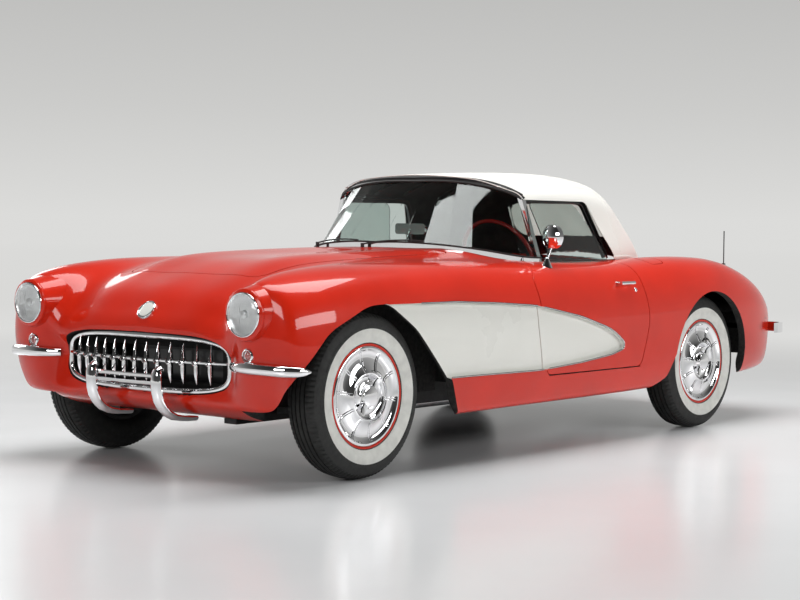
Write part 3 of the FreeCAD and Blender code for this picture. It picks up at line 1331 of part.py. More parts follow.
# Exhaust pipes with their silencers
pipes = []
for side_name, side in (("left", 1), ("right", -1)):
    y = side_y(205) * side
    pipe = cylinder(f"pipe_{side_name}", 24, (station_x(-3520), y, rail_low - 26), station_x(-380), "x")
    silencer = cylinder(f"silencer_{side_name}", 50, (station_x(-1980), y, rail_low + 4),
                        station_x(-1420), "x")
    drop = cylinder(f"down_pipe_{side_name}", 24, (station_x(-404), y, rail_low - 26), rail_top - 12, "z")
    pipes += [pipe, silencer, drop]
    for tag, x, high in (("fore", -900, rail_top - 52), ("mid", -2100, rail_top - 52),
                         ("aft", -3250, rail_top - 20)):
        pipes.append(box(f"pipe_hanger_{tag}_{side_name}", station_x(x) - 10, station_x(x) + 10,
                         y - 8, y + 8, rail_low - 20, high))
node("exhaust", fuse("exhaust", *pipes))

# Check and write
doc.recompute()
for thing in doc.Objects:
    if {"Invalid", "Error"} & set(thing.State):
        raise RuntimeError(f"{thing.Label} failed: {thing.State}")
for label, thing in nodes.items():
    if thing.Shape.isNull() or not thing.Shape.isValid() or thing.Shape.Volume <= 0:
        raise RuntimeError(f"{label} has no valid shape")
for label, thing in nodes.items():
    thing.Shape.exportStep(f"parts/{label}.step")
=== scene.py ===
"""Looks of a two-seat convertible car of the 1950s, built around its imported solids."""
import json
import logging
import math
from dataclasses import dataclass, field
from enum import Enum
from typing import Callable, Iterable, Optional, Sequence

import bmesh
import bpy
import numpy as np
from mathutils import Matrix, Vector
from mathutils.bvhtree import BVHTree


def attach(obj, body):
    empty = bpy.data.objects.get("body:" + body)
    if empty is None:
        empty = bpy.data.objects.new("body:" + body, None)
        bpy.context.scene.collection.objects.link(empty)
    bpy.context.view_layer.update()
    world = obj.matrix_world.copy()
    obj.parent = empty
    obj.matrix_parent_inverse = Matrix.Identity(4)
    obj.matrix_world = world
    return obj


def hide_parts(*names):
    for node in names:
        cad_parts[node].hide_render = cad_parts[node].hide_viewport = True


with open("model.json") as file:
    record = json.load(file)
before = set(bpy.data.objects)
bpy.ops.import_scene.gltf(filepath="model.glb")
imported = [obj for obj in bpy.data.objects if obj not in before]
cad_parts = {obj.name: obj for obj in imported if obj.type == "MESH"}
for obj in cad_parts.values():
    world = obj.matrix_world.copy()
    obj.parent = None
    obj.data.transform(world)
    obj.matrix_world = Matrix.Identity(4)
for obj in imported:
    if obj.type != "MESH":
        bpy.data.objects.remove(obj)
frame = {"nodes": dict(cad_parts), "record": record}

Thing = bpy.types.Object
Pairs = Sequence[tuple[float, float]]

log = logging.getLogger("convertible")
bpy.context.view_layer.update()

# Design coordinates are millimetres from the front axle; the frame is in metres
FRONT_AXLE = 1.4835
MM = 0.001


def at(x: float, y: float, z: float) -> Vector:
    """Frame point of a design point.

    Args:
        x: millimetres ahead of the front axle.
        y: millimetres to the left of the centre plane.
        z: millimetres above the ground.

    Returns:
        The point in metres in the row frame.
    """
    return Vector((FRONT_AXLE + x * MM, y * MM, z * MM))


def mirrored(line: Sequence[Vector]) -> list[Vector]:
    """Points of a line on the other side of the centre plane."""
    return [Vector((p.x, -p.y, p.z)) for p in line]


def linked(name: str, data: bpy.types.ID) -> Thing:
    """New object of some data, in the scene."""
    made = bpy.data.objects.new(name, data)
    bpy.context.scene.collection.objects.link(made)
    return made


# Finishes

@dataclass(frozen=True)
class Finish:
    """How one material looks.

    Attributes:
        name: material name.
        color: linear base colour.
        rough: roughness of the surface.
        metal: how metallic it is.
        coat: strength of a clear coat.
        glass: share of light that passes through.
        vary: how far noise moves the colour's brightness.
        grain: size of the noise in cycles per metre.
        bump: depth of the fine bump in millimetres.
        weave: threads per metre of a woven bump, or 0.
        spread: how far noise moves the roughness.
        sheen: strength of fabric sheen.
        specular: strength of the reflection under the coat.
    """

    name: str
    color: tuple[float, float, float]
    rough: float = 0.4
    metal: float = 0.0
    coat: float = 0.0
    glass: float = 0.0
    vary: float = 0.06
    grain: float = 30.0
    bump: float = 0.0
    weave: float = 0.0
    spread: float = 0.05
    sheen: float = 0.0
    specular: float = 0.5


class Look(Enum):
    """Every finish on the car."""

    PAINT = Finish("red_enamel", (0.60, 0.020, 0.006), rough=0.30, coat=0.7, vary=0.04, grain=3.0,
                   spread=0.03, specular=0.1)
    COVE = Finish("white_enamel", (0.78, 0.78, 0.73), rough=0.28, coat=0.8, vary=0.004, grain=2.0,
                  spread=0.03)
    UNDERCOAT = Finish("undercoat", (0.022, 0.021, 0.020), rough=0.82, vary=0.3, grain=60.0, bump=0.5)
    CHROME = Finish("chrome", (0.84, 0.84, 0.85), rough=0.035, metal=1.0, vary=0.01, grain=8.0, spread=0.01)
    SATIN_STEEL = Finish("satin_steel", (0.52, 0.52, 0.53), rough=0.32, metal=1.0, vary=0.05, grain=40.0,
                         bump=0.01)
    BLACK = Finish("black_enamel", (0.010, 0.010, 0.011), rough=0.3, coat=0.5, vary=0.15, grain=12.0,
                   bump=0.004)
    # Near-black painted shade for the walls of the grille's opening
    DARK = Finish("painted_shade_recess", (0.004, 0.004, 0.004), rough=0.85, vary=0.2, grain=30.0, bump=0.1)
    SEAL = Finish("black_seal", (0.012, 0.012, 0.012), rough=0.62, vary=0.2, grain=60.0, bump=0.05)
    TYRE = Finish("tyre_black", (0.016, 0.016, 0.015), rough=0.62, vary=0.25, grain=45.0, bump=0.12)
    WHITEWALL = Finish("whitewall", (0.66, 0.66, 0.62), rough=0.5, vary=0.05, grain=25.0, bump=0.05)
    CLOTH = Finish("top_cloth", (0.68, 0.67, 0.63), rough=0.86, vary=0.015, grain=3.0, bump=0.25,
                   weave=900.0, sheen=0.25)
    LINING = Finish("top_lining", (0.055, 0.053, 0.050), rough=0.9, vary=0.12, grain=20.0, bump=0.2,
                    weave=700.0, sheen=0.2)
    VINYL = Finish("red_vinyl", (0.30, 0.013, 0.012), rough=0.42, coat=0.15, vary=0.10, grain=18.0,
                   bump=0.18, spread=0.08)
    CARPET = Finish("red_carpet", (0.19, 0.012, 0.011), rough=0.95, vary=0.25, grain=160.0, bump=1.0,
                    sheen=0.3)
    DASH = Finish("dash_enamel", (0.40, 0.012, 0.010), rough=0.34, coat=0.4, vary=0.05, grain=6.0,
                  bump=0.02)
    RIM = Finish("wheel_rim_plastic", (0.36, 0.010, 0.010), rough=0.24, coat=0.4, vary=0.04, grain=6.0,
                 bump=0.01)
    FACE = Finish("gauge_face", (0.018, 0.020, 0.022), rough=0.4, vary=0.1, grain=60.0)
    MARK = Finish("gauge_marks", (0.62, 0.64, 0.60), rough=0.5, vary=0.02, grain=60.0)
    LENS = Finish("lamp_lens", (0.97, 0.98, 0.98), rough=0.05, glass=0.92, vary=0.01, grain=50.0)
    REFLECTOR = Finish("lamp_reflector", (0.93, 0.94, 0.95), rough=0.30, metal=0.75, vary=0.06,
                       grain=30.0, bump=0.05)
    RED_LENS = Finish("red_lens", (0.46, 0.006, 0.006), rough=0.12, coat=0.6, vary=0.08, grain=60.0,
                      bump=0.05)
    PANE = Finish("tinted_glass", (0.70, 0.78, 0.75), rough=0.02, glass=1.0, vary=0.01, grain=5.0)
    VINYL_PANE = Finish("clear_vinyl", (0.74, 0.74, 0.70), rough=0.10, glass=0.95, vary=0.03, grain=9.0,
                        bump=0.05)
    CHASSIS = Finish("chassis_black", (0.013, 0.013, 0.013), rough=0.5, vary=0.3, grain=40.0, bump=0.15)
    IRON = Finish("engine_enamel", (0.16, 0.030, 0.012), rough=0.5, vary=0.2, grain=50.0, bump=0.25)
    FLOOR = Finish("studio_floor", (0.80, 0.81, 0.82), rough=0.20, vary=0.02, grain=0.5)
    RUBBER = Finish("moulded_rubber", (0.014, 0.014, 0.014), rough=0.7, vary=0.2, grain=80.0, bump=0.1)


_materials: dict[str, bpy.types.Material] = {}
GLASS_INDEX = 1.45
COAT_ROUGHNESS = 0.03
BUMP_STRENGTH = 0.6


def add_node(tree: bpy.types.NodeTree, kind: str, feeds: Optional[dict] = None,
             values: Optional[dict] = None, **settings: object) -> bpy.types.Node:
    """New shader node.

    Args:
        tree: the nodes that it joins.
        kind: its type, without the words ShaderNode.
        feeds: the socket that runs into each input.
        values: the plain value of each input.
        settings: properties of the node itself.

    Returns:
        The node.
    """
    made = tree.nodes.new("ShaderNode" + kind)
    for label, value in settings.items():
        setattr(made, label, value)
    for label, value in (values or {}).items():
        made.inputs[label].default_value = value
    for label, socket in (feeds or {}).items():
        tree.links.new(socket, made.inputs[label])
    return made


def woven(tree: bpy.types.NodeTree, coords: bpy.types.NodeSocket, threads: float) -> bpy.types.NodeSocket:
    """Height of threads that run along the three axes.

    Args:
        tree: the material's nodes.
        coords: the texture coordinates.
        threads: threads per metre.

    Returns:
        The socket that carries the height.
    """
    total = None
    for axis in ("X", "Y", "Z"):
        wave = add_node(tree, "TexWave", {"Vector": coords}, {"Scale": threads / 6.2832},
                        bands_direction=axis).outputs["Fac"]
        if total is None:
            total = wave
        else:
            total = add_node(tree, "Math", {0: total, 1: wave}, operation="MAXIMUM").outputs[0]
    return total


def material(look: Look) -> bpy.types.Material:
    """Node material of one finish, made once.

    Args:
        look: the finish.

    Returns:
        The Blender material.
    """
    finish = look.value
    if finish.name in _materials:
        return _materials[finish.name]
    made = bpy.data.materials.new(finish.name)
    made.use_nodes = True
    tree = made.node_tree
    tree.nodes.clear()
    coords = add_node(tree, "TexCoord").outputs["Object"]
    grains = {"Scale": finish.grain, "Detail": 5.0}
    noise = add_node(tree, "TexNoise", {"Vector": coords}, grains).outputs["Fac"]
    ramp = add_node(tree, "ValToRGB", {"Fac": noise})
    for element, place, way in zip(ramp.color_ramp.elements, (0.3, 0.7), (-2.0, 2.0)):
        element.position = place
        element.color = (*(min(c * (1.0 + finish.vary * way), 1.0) for c in finish.color), 1.0)
    feeds = {"Base Color": ramp.outputs["Color"]}
    if finish.glass <= 0.5:
        feeds["Roughness"] = add_node(tree, "MapRange", {"Value": noise}, {
            "To Min": max(finish.rough - finish.spread, 0.02),
            "To Max": min(finish.rough + finish.spread, 1.0)}).outputs["Result"]
    if finish.bump:
        feeds["Normal"] = add_node(
            tree, "Bump", {"Height": woven(tree, coords, finish.weave) if finish.weave else noise},
            {"Strength": BUMP_STRENGTH, "Distance": finish.bump * MM}).outputs["Normal"]
    shader = add_node(tree, "BsdfPrincipled", feeds, {
        "Metallic": finish.metal, "Coat Weight": finish.coat, "Coat Roughness": COAT_ROUGHNESS,
        "Sheen Weight": finish.sheen, "Transmission Weight": finish.glass,
        "Specular IOR Level": finish.specular, "IOR": GLASS_INDEX, "Roughness": finish.rough})
    add_node(tree, "OutputMaterial", {0: shader.outputs[0]})
    _materials[finish.name] = made
    return made


# Meshes

def dress(mesh: bpy.types.Mesh, looks: Iterable[Look]) -> None:
    """Give a mesh its materials in slot order."""
    if len(mesh.materials):
        # Not on an empty list, as clearing it sends every face back to slot 0
        mesh.materials.clear()
    for look in looks:
        mesh.materials.append(material(look))


def from_bmesh(name: str, bm: bmesh.types.BMesh, looks: Sequence[Look], angle: float = 35.0,
               keep_normals: bool = False) -> Thing:
    """Object from a bmesh, smooth apart from edges sharper than an angle."""
    if not keep_normals:
        bmesh.ops.recalc_face_normals(bm, faces=bm.faces)
    limit = math.radians(angle)
    for face in bm.faces:
        face.smooth = True
    for edge in bm.edges:
        if len(edge.link_faces) == 2:
            edge.smooth = edge.calc_face_angle(0.0) < limit
    mesh = bpy.data.meshes.new(name)
    bm.to_mesh(mesh)
    bm.free()
    dress(mesh, looks)
    return linked(name, mesh)


def grid_faces(rows: int, columns: int, wrap: bool = True, start: int = 0) -> list[tuple]:
    """Quads of a grid of points stored row by row."""
    faces = []
    last = columns if wrap else columns - 1
    for row in range(rows - 1):
        for column in range(last):
            a = start + row * columns + column
            b = start + row * columns + (column + 1) % columns
            faces.append((a, b, b + columns, a + columns))
    return faces


def closed_grid(grid: np.ndarray) -> tuple[np.ndarray, list[tuple]]:
    """Points and outward faces of a tube of rings with its two ends closed by fans."""
    rows, columns = grid.shape[:2]
    faces = grid_faces(rows, columns)
    first = rows * columns
    points = np.vstack([grid.reshape(-1, 3), grid[0].mean(0), grid[-1].mean(0)])
    base = (rows - 1) * columns
    for column in range(columns):
        after = (column + 1) % columns
        faces.append((first, after, column))
        faces.append((first + 1, base + column, base + after))
    volume = 0.0
    for face in faces:
        a = points[face[0]]
        for i in range(1, len(face) - 1):
            volume += np.dot(a, np.cross(points[face[i]], points[face[i + 1]]))
    return points, faces if volume > 0 else [tuple(reversed(f)) for f in faces]


def revolve(profile: Pairs, centre: Vector, axis: Vector, steps: int = 96,
            warp: Optional[Callable] = None) -> tuple[np.ndarray, list[tuple]]:
    """Ring of points turned from a profile of (radius, height) pairs in millimetres.

    Args:
        profile: (radius, height along the axis) pairs, closed where the first pair repeats.
        centre: the point at radius 0 and height 0.
        axis: unit vector along the heights.
        steps: points in a full turn.
        warp: changes (radius, height) of a point by its angle and row number.

    Returns:
        Points and quads.
    """
    axis = axis.normalized()
    upright = abs(axis.z) > 0.9
    side = (axis.orthogonal() if upright else axis.cross(Vector((0, 0, 1)))).normalized()
    up = side.cross(axis).normalized() * -1.0
    points = []
    for index, (radius, height) in enumerate(profile):
        for step in range(steps):
            angle = 2 * math.pi * step / steps
            r, h = (radius, height) if warp is None else warp(radius, height, angle, index)
            way = side * math.cos(angle) + up * math.sin(angle)
            points.append(centre + way * (r * MM) + axis * (h * MM))
    return np.array([tuple(p) for p in points]), grid_faces(len(profile), steps)


def turned(name: str, profile: Pairs, centre: Vector, axis: Vector, look: Look,
           steps: int = 96, warp: Optional[Callable] = None, angle: float = 32.0) -> Thing:
    """Solid of revolution whose profile runs from the axis round to the axis, or is closed."""
    points, faces = revolve(profile, centre, axis, steps, warp)
    mesh = bmesh.new()
    made = [mesh.verts.new(p) for p in points]
    for face in faces:
        mesh.faces.new([made[i] for i in face])
    bmesh.ops.remove_doubles(mesh, verts=mesh.verts, dist=1e-6)
    bmesh.ops.dissolve_degenerate(mesh, dist=1e-7, edges=mesh.edges)
    return from_bmesh(name, mesh, [look], angle)


def sweep(points: Sequence[Vector], outline: Pairs, normals: Sequence[Vector],
          closed: bool = False, scale: Optional[Sequence[float]] = None) -> tuple[list, list]:
    """Bar of a constant outline along a line of points.

    Args:
        points: the line.
        outline: (side, normal) pairs in millimetres round the bar.
        normals: the up direction at each point.
        closed: whether the line is a loop.
        scale: size of the outline at each point.

    Returns:
        Points and faces, with flat ends where the line is open.
    """
    made, faces = [], []
    count = len(points)
    for index in range(count):
        before = points[(index - 1) % count] if closed or index else points[index]
        after = points[(index + 1) % count] if closed or index < count - 1 else points[index]
        run = (after - before).normalized()
        normal = normals[index]
        normal = (normal - run * normal.dot(run)).normalized()
        side = run.cross(normal)
        size = 1.0 if scale is None else scale[index]
        for u, v in outline:
            made.append(points[index] + side * (u * MM * size) + normal * (v * MM * size))
    width = len(outline)
    for row in range(count if closed else count - 1):
        here, there = row * width, (row + 1) % count * width
        for column in range(width):
            after = (column + 1) % width
            faces.append((here + column, here + after, there + after, there + column))
    if not closed:
        faces.append(tuple(range(width)))
        faces.append(tuple(reversed(range((count - 1) * width, count * width))))
    return made, faces


def round_outline(radius: float, sides: int = 12) -> list[tuple]:
    """Outline of a round bar."""
    return [(radius * math.cos(2 * math.pi * i / sides), radius * math.sin(2 * math.pi * i / sides))
            for i in range(sides)]


def join(name: str, parts: Iterable[tuple], looks: Sequence[Look], angle: float = 35.0) -> Thing:
    """One object from several (points, faces[, slot]) meshes."""
    bm = bmesh.new()
    for part in parts:
        points, faces = part[0], part[1]
        slot = part[2] if len(part) > 2 else 0
        made = [bm.verts.new(tuple(p)) for p in points]
        for face in faces:
            if len(set(face)) > 2:
                try:
                    bm.faces.new([made[i] for i in face]).material_index = slot
                except ValueError:
                    log.debug("face repeated in %s", name)
    bmesh.ops.remove_doubles(bm, verts=bm.verts, dist=1e-6)
    return from_bmesh(name, bm, looks, angle)


def apply_modifiers(thing: Thing) -> None:
    """Bake an object's modifiers into its mesh."""
    deps = bpy.context.evaluated_depsgraph_get()
    deps.update()
    mesh = bpy.data.meshes.new_from_object(thing.evaluated_get(deps), depsgraph=deps)
    thing.modifiers.clear()
    old = thing.data
    thing.data = mesh
    bpy.data.meshes.remove(old)


def discard(*things: Thing) -> None:
    """Remove working objects and their meshes."""
    for thing in things:
        mesh = thing.data
        bpy.data.objects.remove(thing)
        if mesh.users == 0:
            bpy.data.meshes.remove(mesh)


def subtract(thing: Thing, *tools: Thing) -> None:
    """Cut closed meshes out of another one.

    Args:
        thing: the object that changes.
        tools: the objects that are cut out, which go.
    """
    for tool in tools:
        step = thing.modifiers.new(tool.name, "BOOLEAN")
        step.operation = "DIFFERENCE"
        step.solver = "MANIFOLD"
        step.object = tool
    apply_modifiers(thing)
    if not thing.data.polygons:
        raise RuntimeError(f"{thing.name} is empty after its cuts")
    discard(*tools)


def mirror_copy(thing: Thing, name: str) -> Thing:
    """Copy of an object mirrored across the centre plane."""
    made = linked(name, thing.data.copy())
    bm = bmesh.new()
    bm.from_mesh(made.data)
    bmesh.ops.scale(bm, vec=(1, -1, 1), verts=bm.verts)
    bmesh.ops.reverse_faces(bm, faces=bm.faces)
    bm.to_mesh(made.data)
    bm.free()
    return made


# Smooth skins through rings of points, as the part's source lays them

def spline_slopes(points: np.ndarray, steps: np.ndarray, closed: bool) -> np.ndarray:
    """Slopes of the smooth cubic line through points.

    Args:
        points: array whose first axis runs along the line; a closed line repeats its first point.
        steps: parameter of each point.
        closed: whether the line is a loop.

    Returns:
        One slope per point.
    """
    gaps = np.diff(steps)
    flat = points.reshape(len(points), -1)
    rises = np.diff(flat, axis=0) / gaps[:, None]
    size = len(points) - 1 if closed else len(points)
    matrix = np.zeros((size, size))
    right = np.zeros((size, flat.shape[1]))
    for i in range(size) if closed else range(1, size - 1):
        before, after = gaps[i - 1], gaps[i]
        matrix[i, (i - 1) % size] += after
        matrix[i, i] += 2 * (before + after)
        matrix[i, (i + 1) % size] += before
        right[i] = 3 * (after * rises[i - 1] + before * rises[i])
    if not closed:
        reach = min(4, size)
        matrix[0, 0] = matrix[-1, -1] = 1.0
        right[0] = lagrange_slope(flat[:reach], steps[:reach], 0)
        right[-1] = lagrange_slope(flat[-reach:], steps[-reach:], reach - 1)
    slopes = np.linalg.solve(matrix, right)
    if closed:
        slopes = np.vstack([slopes, slopes[:1]])
    return slopes.reshape(points.shape)


def lagrange_slope(points: np.ndarray, steps: np.ndarray, where: int) -> np.ndarray:
    """Slope at one point of the polynomial through a few points."""
    total = np.zeros(points.shape[1])
    for j in range(len(points)):
        if j == where:
            weight = sum(1.0 / (steps[j] - steps[m]) for m in range(len(points)) if m != j)
        else:
            weight = 1.0 / (steps[j] - steps[where])
            for m in range(len(points)):
                if m not in (j, where):
                    weight *= (steps[where] - steps[m]) / (steps[j] - steps[m])
        total += points[j] * weight
    return total


def spline_at(points: np.ndarray, steps: np.ndarray, wanted: np.ndarray,
              closed: bool = False) -> np.ndarray:
    """Points of the smooth cubic line at wanted parameters."""
    slopes = spline_slopes(points, steps, closed)
    spans = np.clip(np.searchsorted(steps, wanted, side="right") - 1, 0, len(steps) - 2)
    shape = (-1,) + (1,) * (points.ndim - 1)
    gap = (steps[spans + 1] - steps[spans]).reshape(shape)
    t = (wanted - steps[spans]).reshape(shape) / gap
    a, b = points[spans], points[spans + 1]
    m, n = slopes[spans] * gap, slopes[spans + 1] * gap
    return ((2 * t ** 3 - 3 * t ** 2 + 1) * a + (t ** 3 - 2 * t ** 2 + t) * m
            + (-2 * t ** 3 + 3 * t ** 2) * b + (t ** 3 - t ** 2) * n)


def shared_steps(lines: np.ndarray) -> np.ndarray:
    """Common parameters by the square root of the mean spacing; lines run along axis 1."""
    spans = np.linalg.norm(np.diff(lines, axis=1), axis=2).mean(0)
    return np.concatenate([[0.0], np.cumsum(np.sqrt(spans))])


def refined(steps: np.ndarray, parts: int) -> np.ndarray:
    """Parameters with each span divided, without the last one."""
    shares = np.arange(parts)
    return np.concatenate([a + (b - a) * shares / parts for a, b in zip(steps, steps[1:])])


def skin_grid(rings: np.ndarray, parts: int = 8) -> np.ndarray:
    """Dense grid of the skin through closed rings.

    Args:
        rings: ring points as (ring, point, xyz) in millimetres.
        parts: divisions of each span round a ring and between rings.

    Returns:
        Grid of points as (row, column, xyz) in metres.
    """
    closed = np.concatenate([rings, rings[:, :1]], axis=1)
    u_steps = shared_steps(closed)
    v_steps = shared_steps(rings.transpose(1, 0, 2))
    u_wanted = refined(u_steps, parts)
    dense = np.stack([spline_at(ring, u_steps, u_wanted, True) for ring in closed])
    return spline_at(dense, v_steps, np.append(refined(v_steps, parts), v_steps[-1])) * MM


# Rings, front to back: x at the centre, x at the fender, x at the bottom, then
# top centre z, hood bulge z, valley z and y, crown y and z, widest y and z,
# lower edge y and z, bottom z
BODY_RINGS = (
    (395, 395, 395, 545, 532, 510, 400, 425, 480, 432, 450, 385, 378, 362),
    (492, 462, 488, 572, 557, 528, 432, 468, 495, 487, 455, 435, 365, 341),
    (498, 474, 490, 590, 576, 548, 450, 490, 512, 512, 455, 455, 345, 322),
    (499, 506, 480, 606, 594, 574, 466, 530, 570, 556, 470, 520, 328, 305),
    (494, 530, 462, 626, 614, 600, 474, 590, 650, 622, 500, 600, 312, 290),
    (484, 528, 440, 645, 634, 624, 476, 618, 720, 700, 520, 665, 302, 276),
    (472, 512, 410, 661, 651, 643, 474, 634, 764, 770, 535, 720, 294, 262),
    (452, 486, 372, 684, 676, 668, 470, 640, 795, 822, 540, 758, 284, 250),
    (416, 440, 330, 726, 718, 712, 466, 640, 815, 846, 540, 786, 268, 240),
    (340, 350, 280, 776, 768, 762, 460, 640, 836, 858, 540, 800, 250, 234),
    (180, 180, 160, 832, 830, 814, 456, 642, 856, 866, 545, 812, 238, 230),
    (0, 0, 0, 872, 876, 848, 456, 645, 866, 868, 550, 818, 232, 226),
    (-300, -300, -300, 890, 899, 872, 456, 648, 869, 862, 555, 822, 228, 222),
    (-650, -650, -650, 903, 909, 890, 456, 652, 869, 856, 560, 826, 228, 222),
    (-1000, -1000, -1000, 918, 914, 902, 456, 660, 864, 866, 565, 828, 230, 224),
    (-1350, -1350, -1350, 912, 906, 895, 460, 670, 856, 872, 570, 832, 232, 226),
    (-1700, -1700, -1700, 896, 890, 880, 470, 680, 852, 878, 575, 836, 234, 228),
    (-2000, -2000, -2000, 884, 877, 864, 480, 690, 857, 884, 580, 840, 238, 232),
    (-2300, -2300, -2300, 870, 861, 848, 490, 700, 870, 892, 590, 842, 244, 238),
    (-2591, -2591, -2591, 850, 840, 832, 500, 705, 869, 895.5, 595, 838, 250, 244),
    (-2850, -2850, -2850, 814, 803, 800, 500, 700, 848, 888, 585, 828, 256, 250),
    (-3100, -3100, -3100, 750, 740, 742, 490, 690, 786, 866, 555, 800, 262, 256),
    (-3300, -3300, -3300, 676, 668, 670, 480, 668, 706, 818, 520, 755, 276, 268),
    (-3400, -3400, -3400, 615, 610, 611, 470, 648, 646, 765, 495, 705, 296, 288),
    (-3465, -3465, -3465, 560, 556, 557, 460, 630, 585, 705, 475, 650, 328, 320),
    (-3510, -3510, -3510, 508, 505, 506, 450, 600, 522, 645, 455, 592, 372, 364),
    (-3532, -3532, -3532, 472, 470, 470, 440, 560, 480, 590, 440, 540, 402, 394),
)
BULGE_Y = 320.0
COVE_DEPTH = 24.0
# Rings of BODY_RINGS that the coves lie between
COVE_RINGS = slice(10, 20)


def half_ring(row: Sequence[float]) -> list[tuple]:
    """Points of one body ring, from the top centre down to the bottom centre."""
    xc, xf, xb, mid, bulge, zv, yv, yc, zc, ys, zs, ye, ze, zb = row
    points = [(xc, 0, mid), (xc, BULGE_Y / 2, 0.45 * mid + 0.55 * bulge), (xc, BULGE_Y, bulge),
              (xc, yv, zv), ((xc + xf) / 2, (yv + yc) / 2, zv + 0.62 * (zc - zv)), (xf, yc, zc)]
    for turn in (30, 62, 90):
        angle = math.radians(turn)
        points.append((xf, yc + (ys - yc) * math.sin(angle) ** 0.85,
                       zs + (zc - zs) * abs(math.cos(angle)) ** 0.85))
    for turn in (35, 65, 90):
        angle = math.radians(turn)
        share = turn / 90.0 * 0.5
        points.append((xf + (xb - xf) * share, ye + (ys - ye) * abs(math.cos(angle)) ** 0.7,
                       zs - (zs - ze) * math.sin(angle) ** 0.95))
    return points + [(xb, ye * share, zb) for share in (0.62, 0.3, 0.0)]


def body_ring(row: Sequence[float], inset: float = 0.0, flat_x: Optional[float] = None) -> np.ndarray:
    """Points of one closed ring from the bottom centre, set in by an amount."""
    half = np.array(half_ring(row), dtype=float)
    last = len(half) - 1
    moved = []
    for index, point in enumerate(half):
        before = half[index - 1] if index else half[1] * (1, -1, 1)
        after = half[index + 1] if index < last else half[-2] * (1, -1, 1)
        run = np.array([0.0, after[1] - before[1], after[2] - before[2]])
        moved.append(point + np.array([0.0, run[2], -run[1]]) * (inset / np.linalg.norm(run)))
        if flat_x is not None:
            moved[-1][0] = flat_x
    moved[0][1] = 0.0
    moved[-1][1] = 0.0
    moved = np.array(moved)
    ring = np.concatenate([moved[:0:-1] * (1, -1, 1), moved[:-1]])
    ring[:, 0] += FRONT_AXLE / MM
    return ring


def body_grid(rows: Sequence, inset: float = 0.0) -> np.ndarray:
    """Grid of the body's outer form, or of the form set in by an amount."""
    rings = [body_ring(row, inset) for row in rows]
    if inset:
        rings[0] = body_ring(rows[0], inset, rows[0][1])
    return skin_grid(np.array(rings))


def solid_of(name: str, grid: np.ndarray) -> Thing:
    """Closed working mesh of a grid."""
    points, faces = closed_grid(grid)
    mesh = bpy.data.meshes.new(name)
    mesh.from_pydata(points.tolist(), [], faces)
    mesh.update()
    return linked(name, mesh)


class Surface:
    """A dense skin that gives the nearest point and its smooth normal."""

    def __init__(self, grid: np.ndarray) -> None:
        """Build the search tree of a grid of rings.

        Args:
            grid: points as (row, column, xyz) in metres, columns closed.
        """
        rows, columns = grid.shape[:2]
        along = np.gradient(grid, axis=0)
        wide = np.concatenate([grid[:, -1:], grid, grid[:, :1]], axis=1)
        around = (wide[:, 2:] - wide[:, :-2]) / 2
        normals = np.cross(around, along)
        normals /= np.maximum(np.linalg.norm(normals, axis=2, keepdims=True), 1e-12)
        centre = grid.mean(1, keepdims=True)
        if (normals * (grid - centre)).sum(2).mean() < 0:
            normals = -normals
        self.normals = normals.reshape(-1, 3)
        self.points = grid.reshape(-1, 3)
        self.faces = []
        for a, b, c, d in grid_faces(rows, columns):
            self.faces.append((a, b, c))
            self.faces.append((a, c, d))
        self.tree = BVHTree.FromPolygons([tuple(p) for p in self.points], self.faces)

    def nearest(self, point: Vector) -> tuple[Vector, Vector, float]:
        """Nearest point of the skin, its smooth normal and the distance."""
        spot, _, index, gap = self.tree.find_nearest(point)
        return spot, self._normal(spot, index), gap

    def _normal(self, spot: Vector, index: int) -> Vector:
        """Smooth normal at a spot on one triangle."""
        face = self.faces[index]
        a, b, c = (Vector(self.points[i]) for i in face)
        e, f, g = b - a, c - a, spot - a
        ee, ef, ff, ge, gf = e.dot(e), e.dot(f), f.dot(f), g.dot(e), g.dot(f)
        area = ee * ff - ef * ef
        v = (ff * ge - ef * gf) / area if area > 1e-18 else 0.0
        w = (ee * gf - ef * ge) / area if area > 1e-18 else 0.0
        n = (Vector(self.normals[face[0]]) * (1 - v - w) + Vector(self.normals[face[1]]) * v
             + Vector(self.normals[face[2]]) * w)
        return n.normalized()

    def hit(self, start: Vector, way: Vector) -> tuple[Vector, Vector]:
        """First point of the skin along a ray, and its smooth normal."""
        spot, _, index, _ = self.tree.ray_cast(start, way)
        if spot is None:
            spot, _, index, _ = self.tree.find_nearest(start)
        return spot, self._normal(spot, index)

    def side(self, x: float, z: float, left: bool = True) -> tuple[Vector, Vector]:
        """Point of the skin's side at a design x and z."""
        sign = 1.0 if left else -1.0
        return self.hit(at(x, 1400.0 * sign, z), Vector((0, -sign, 0)))

    def top(self, x: float, y: float) -> tuple[Vector, Vector]:
        """Point of the skin's top at a design x and y."""
        return self.hit(at(x, y, 2500.0), Vector((0, 0, -1)))


# Cut lines, seen from the side or from above

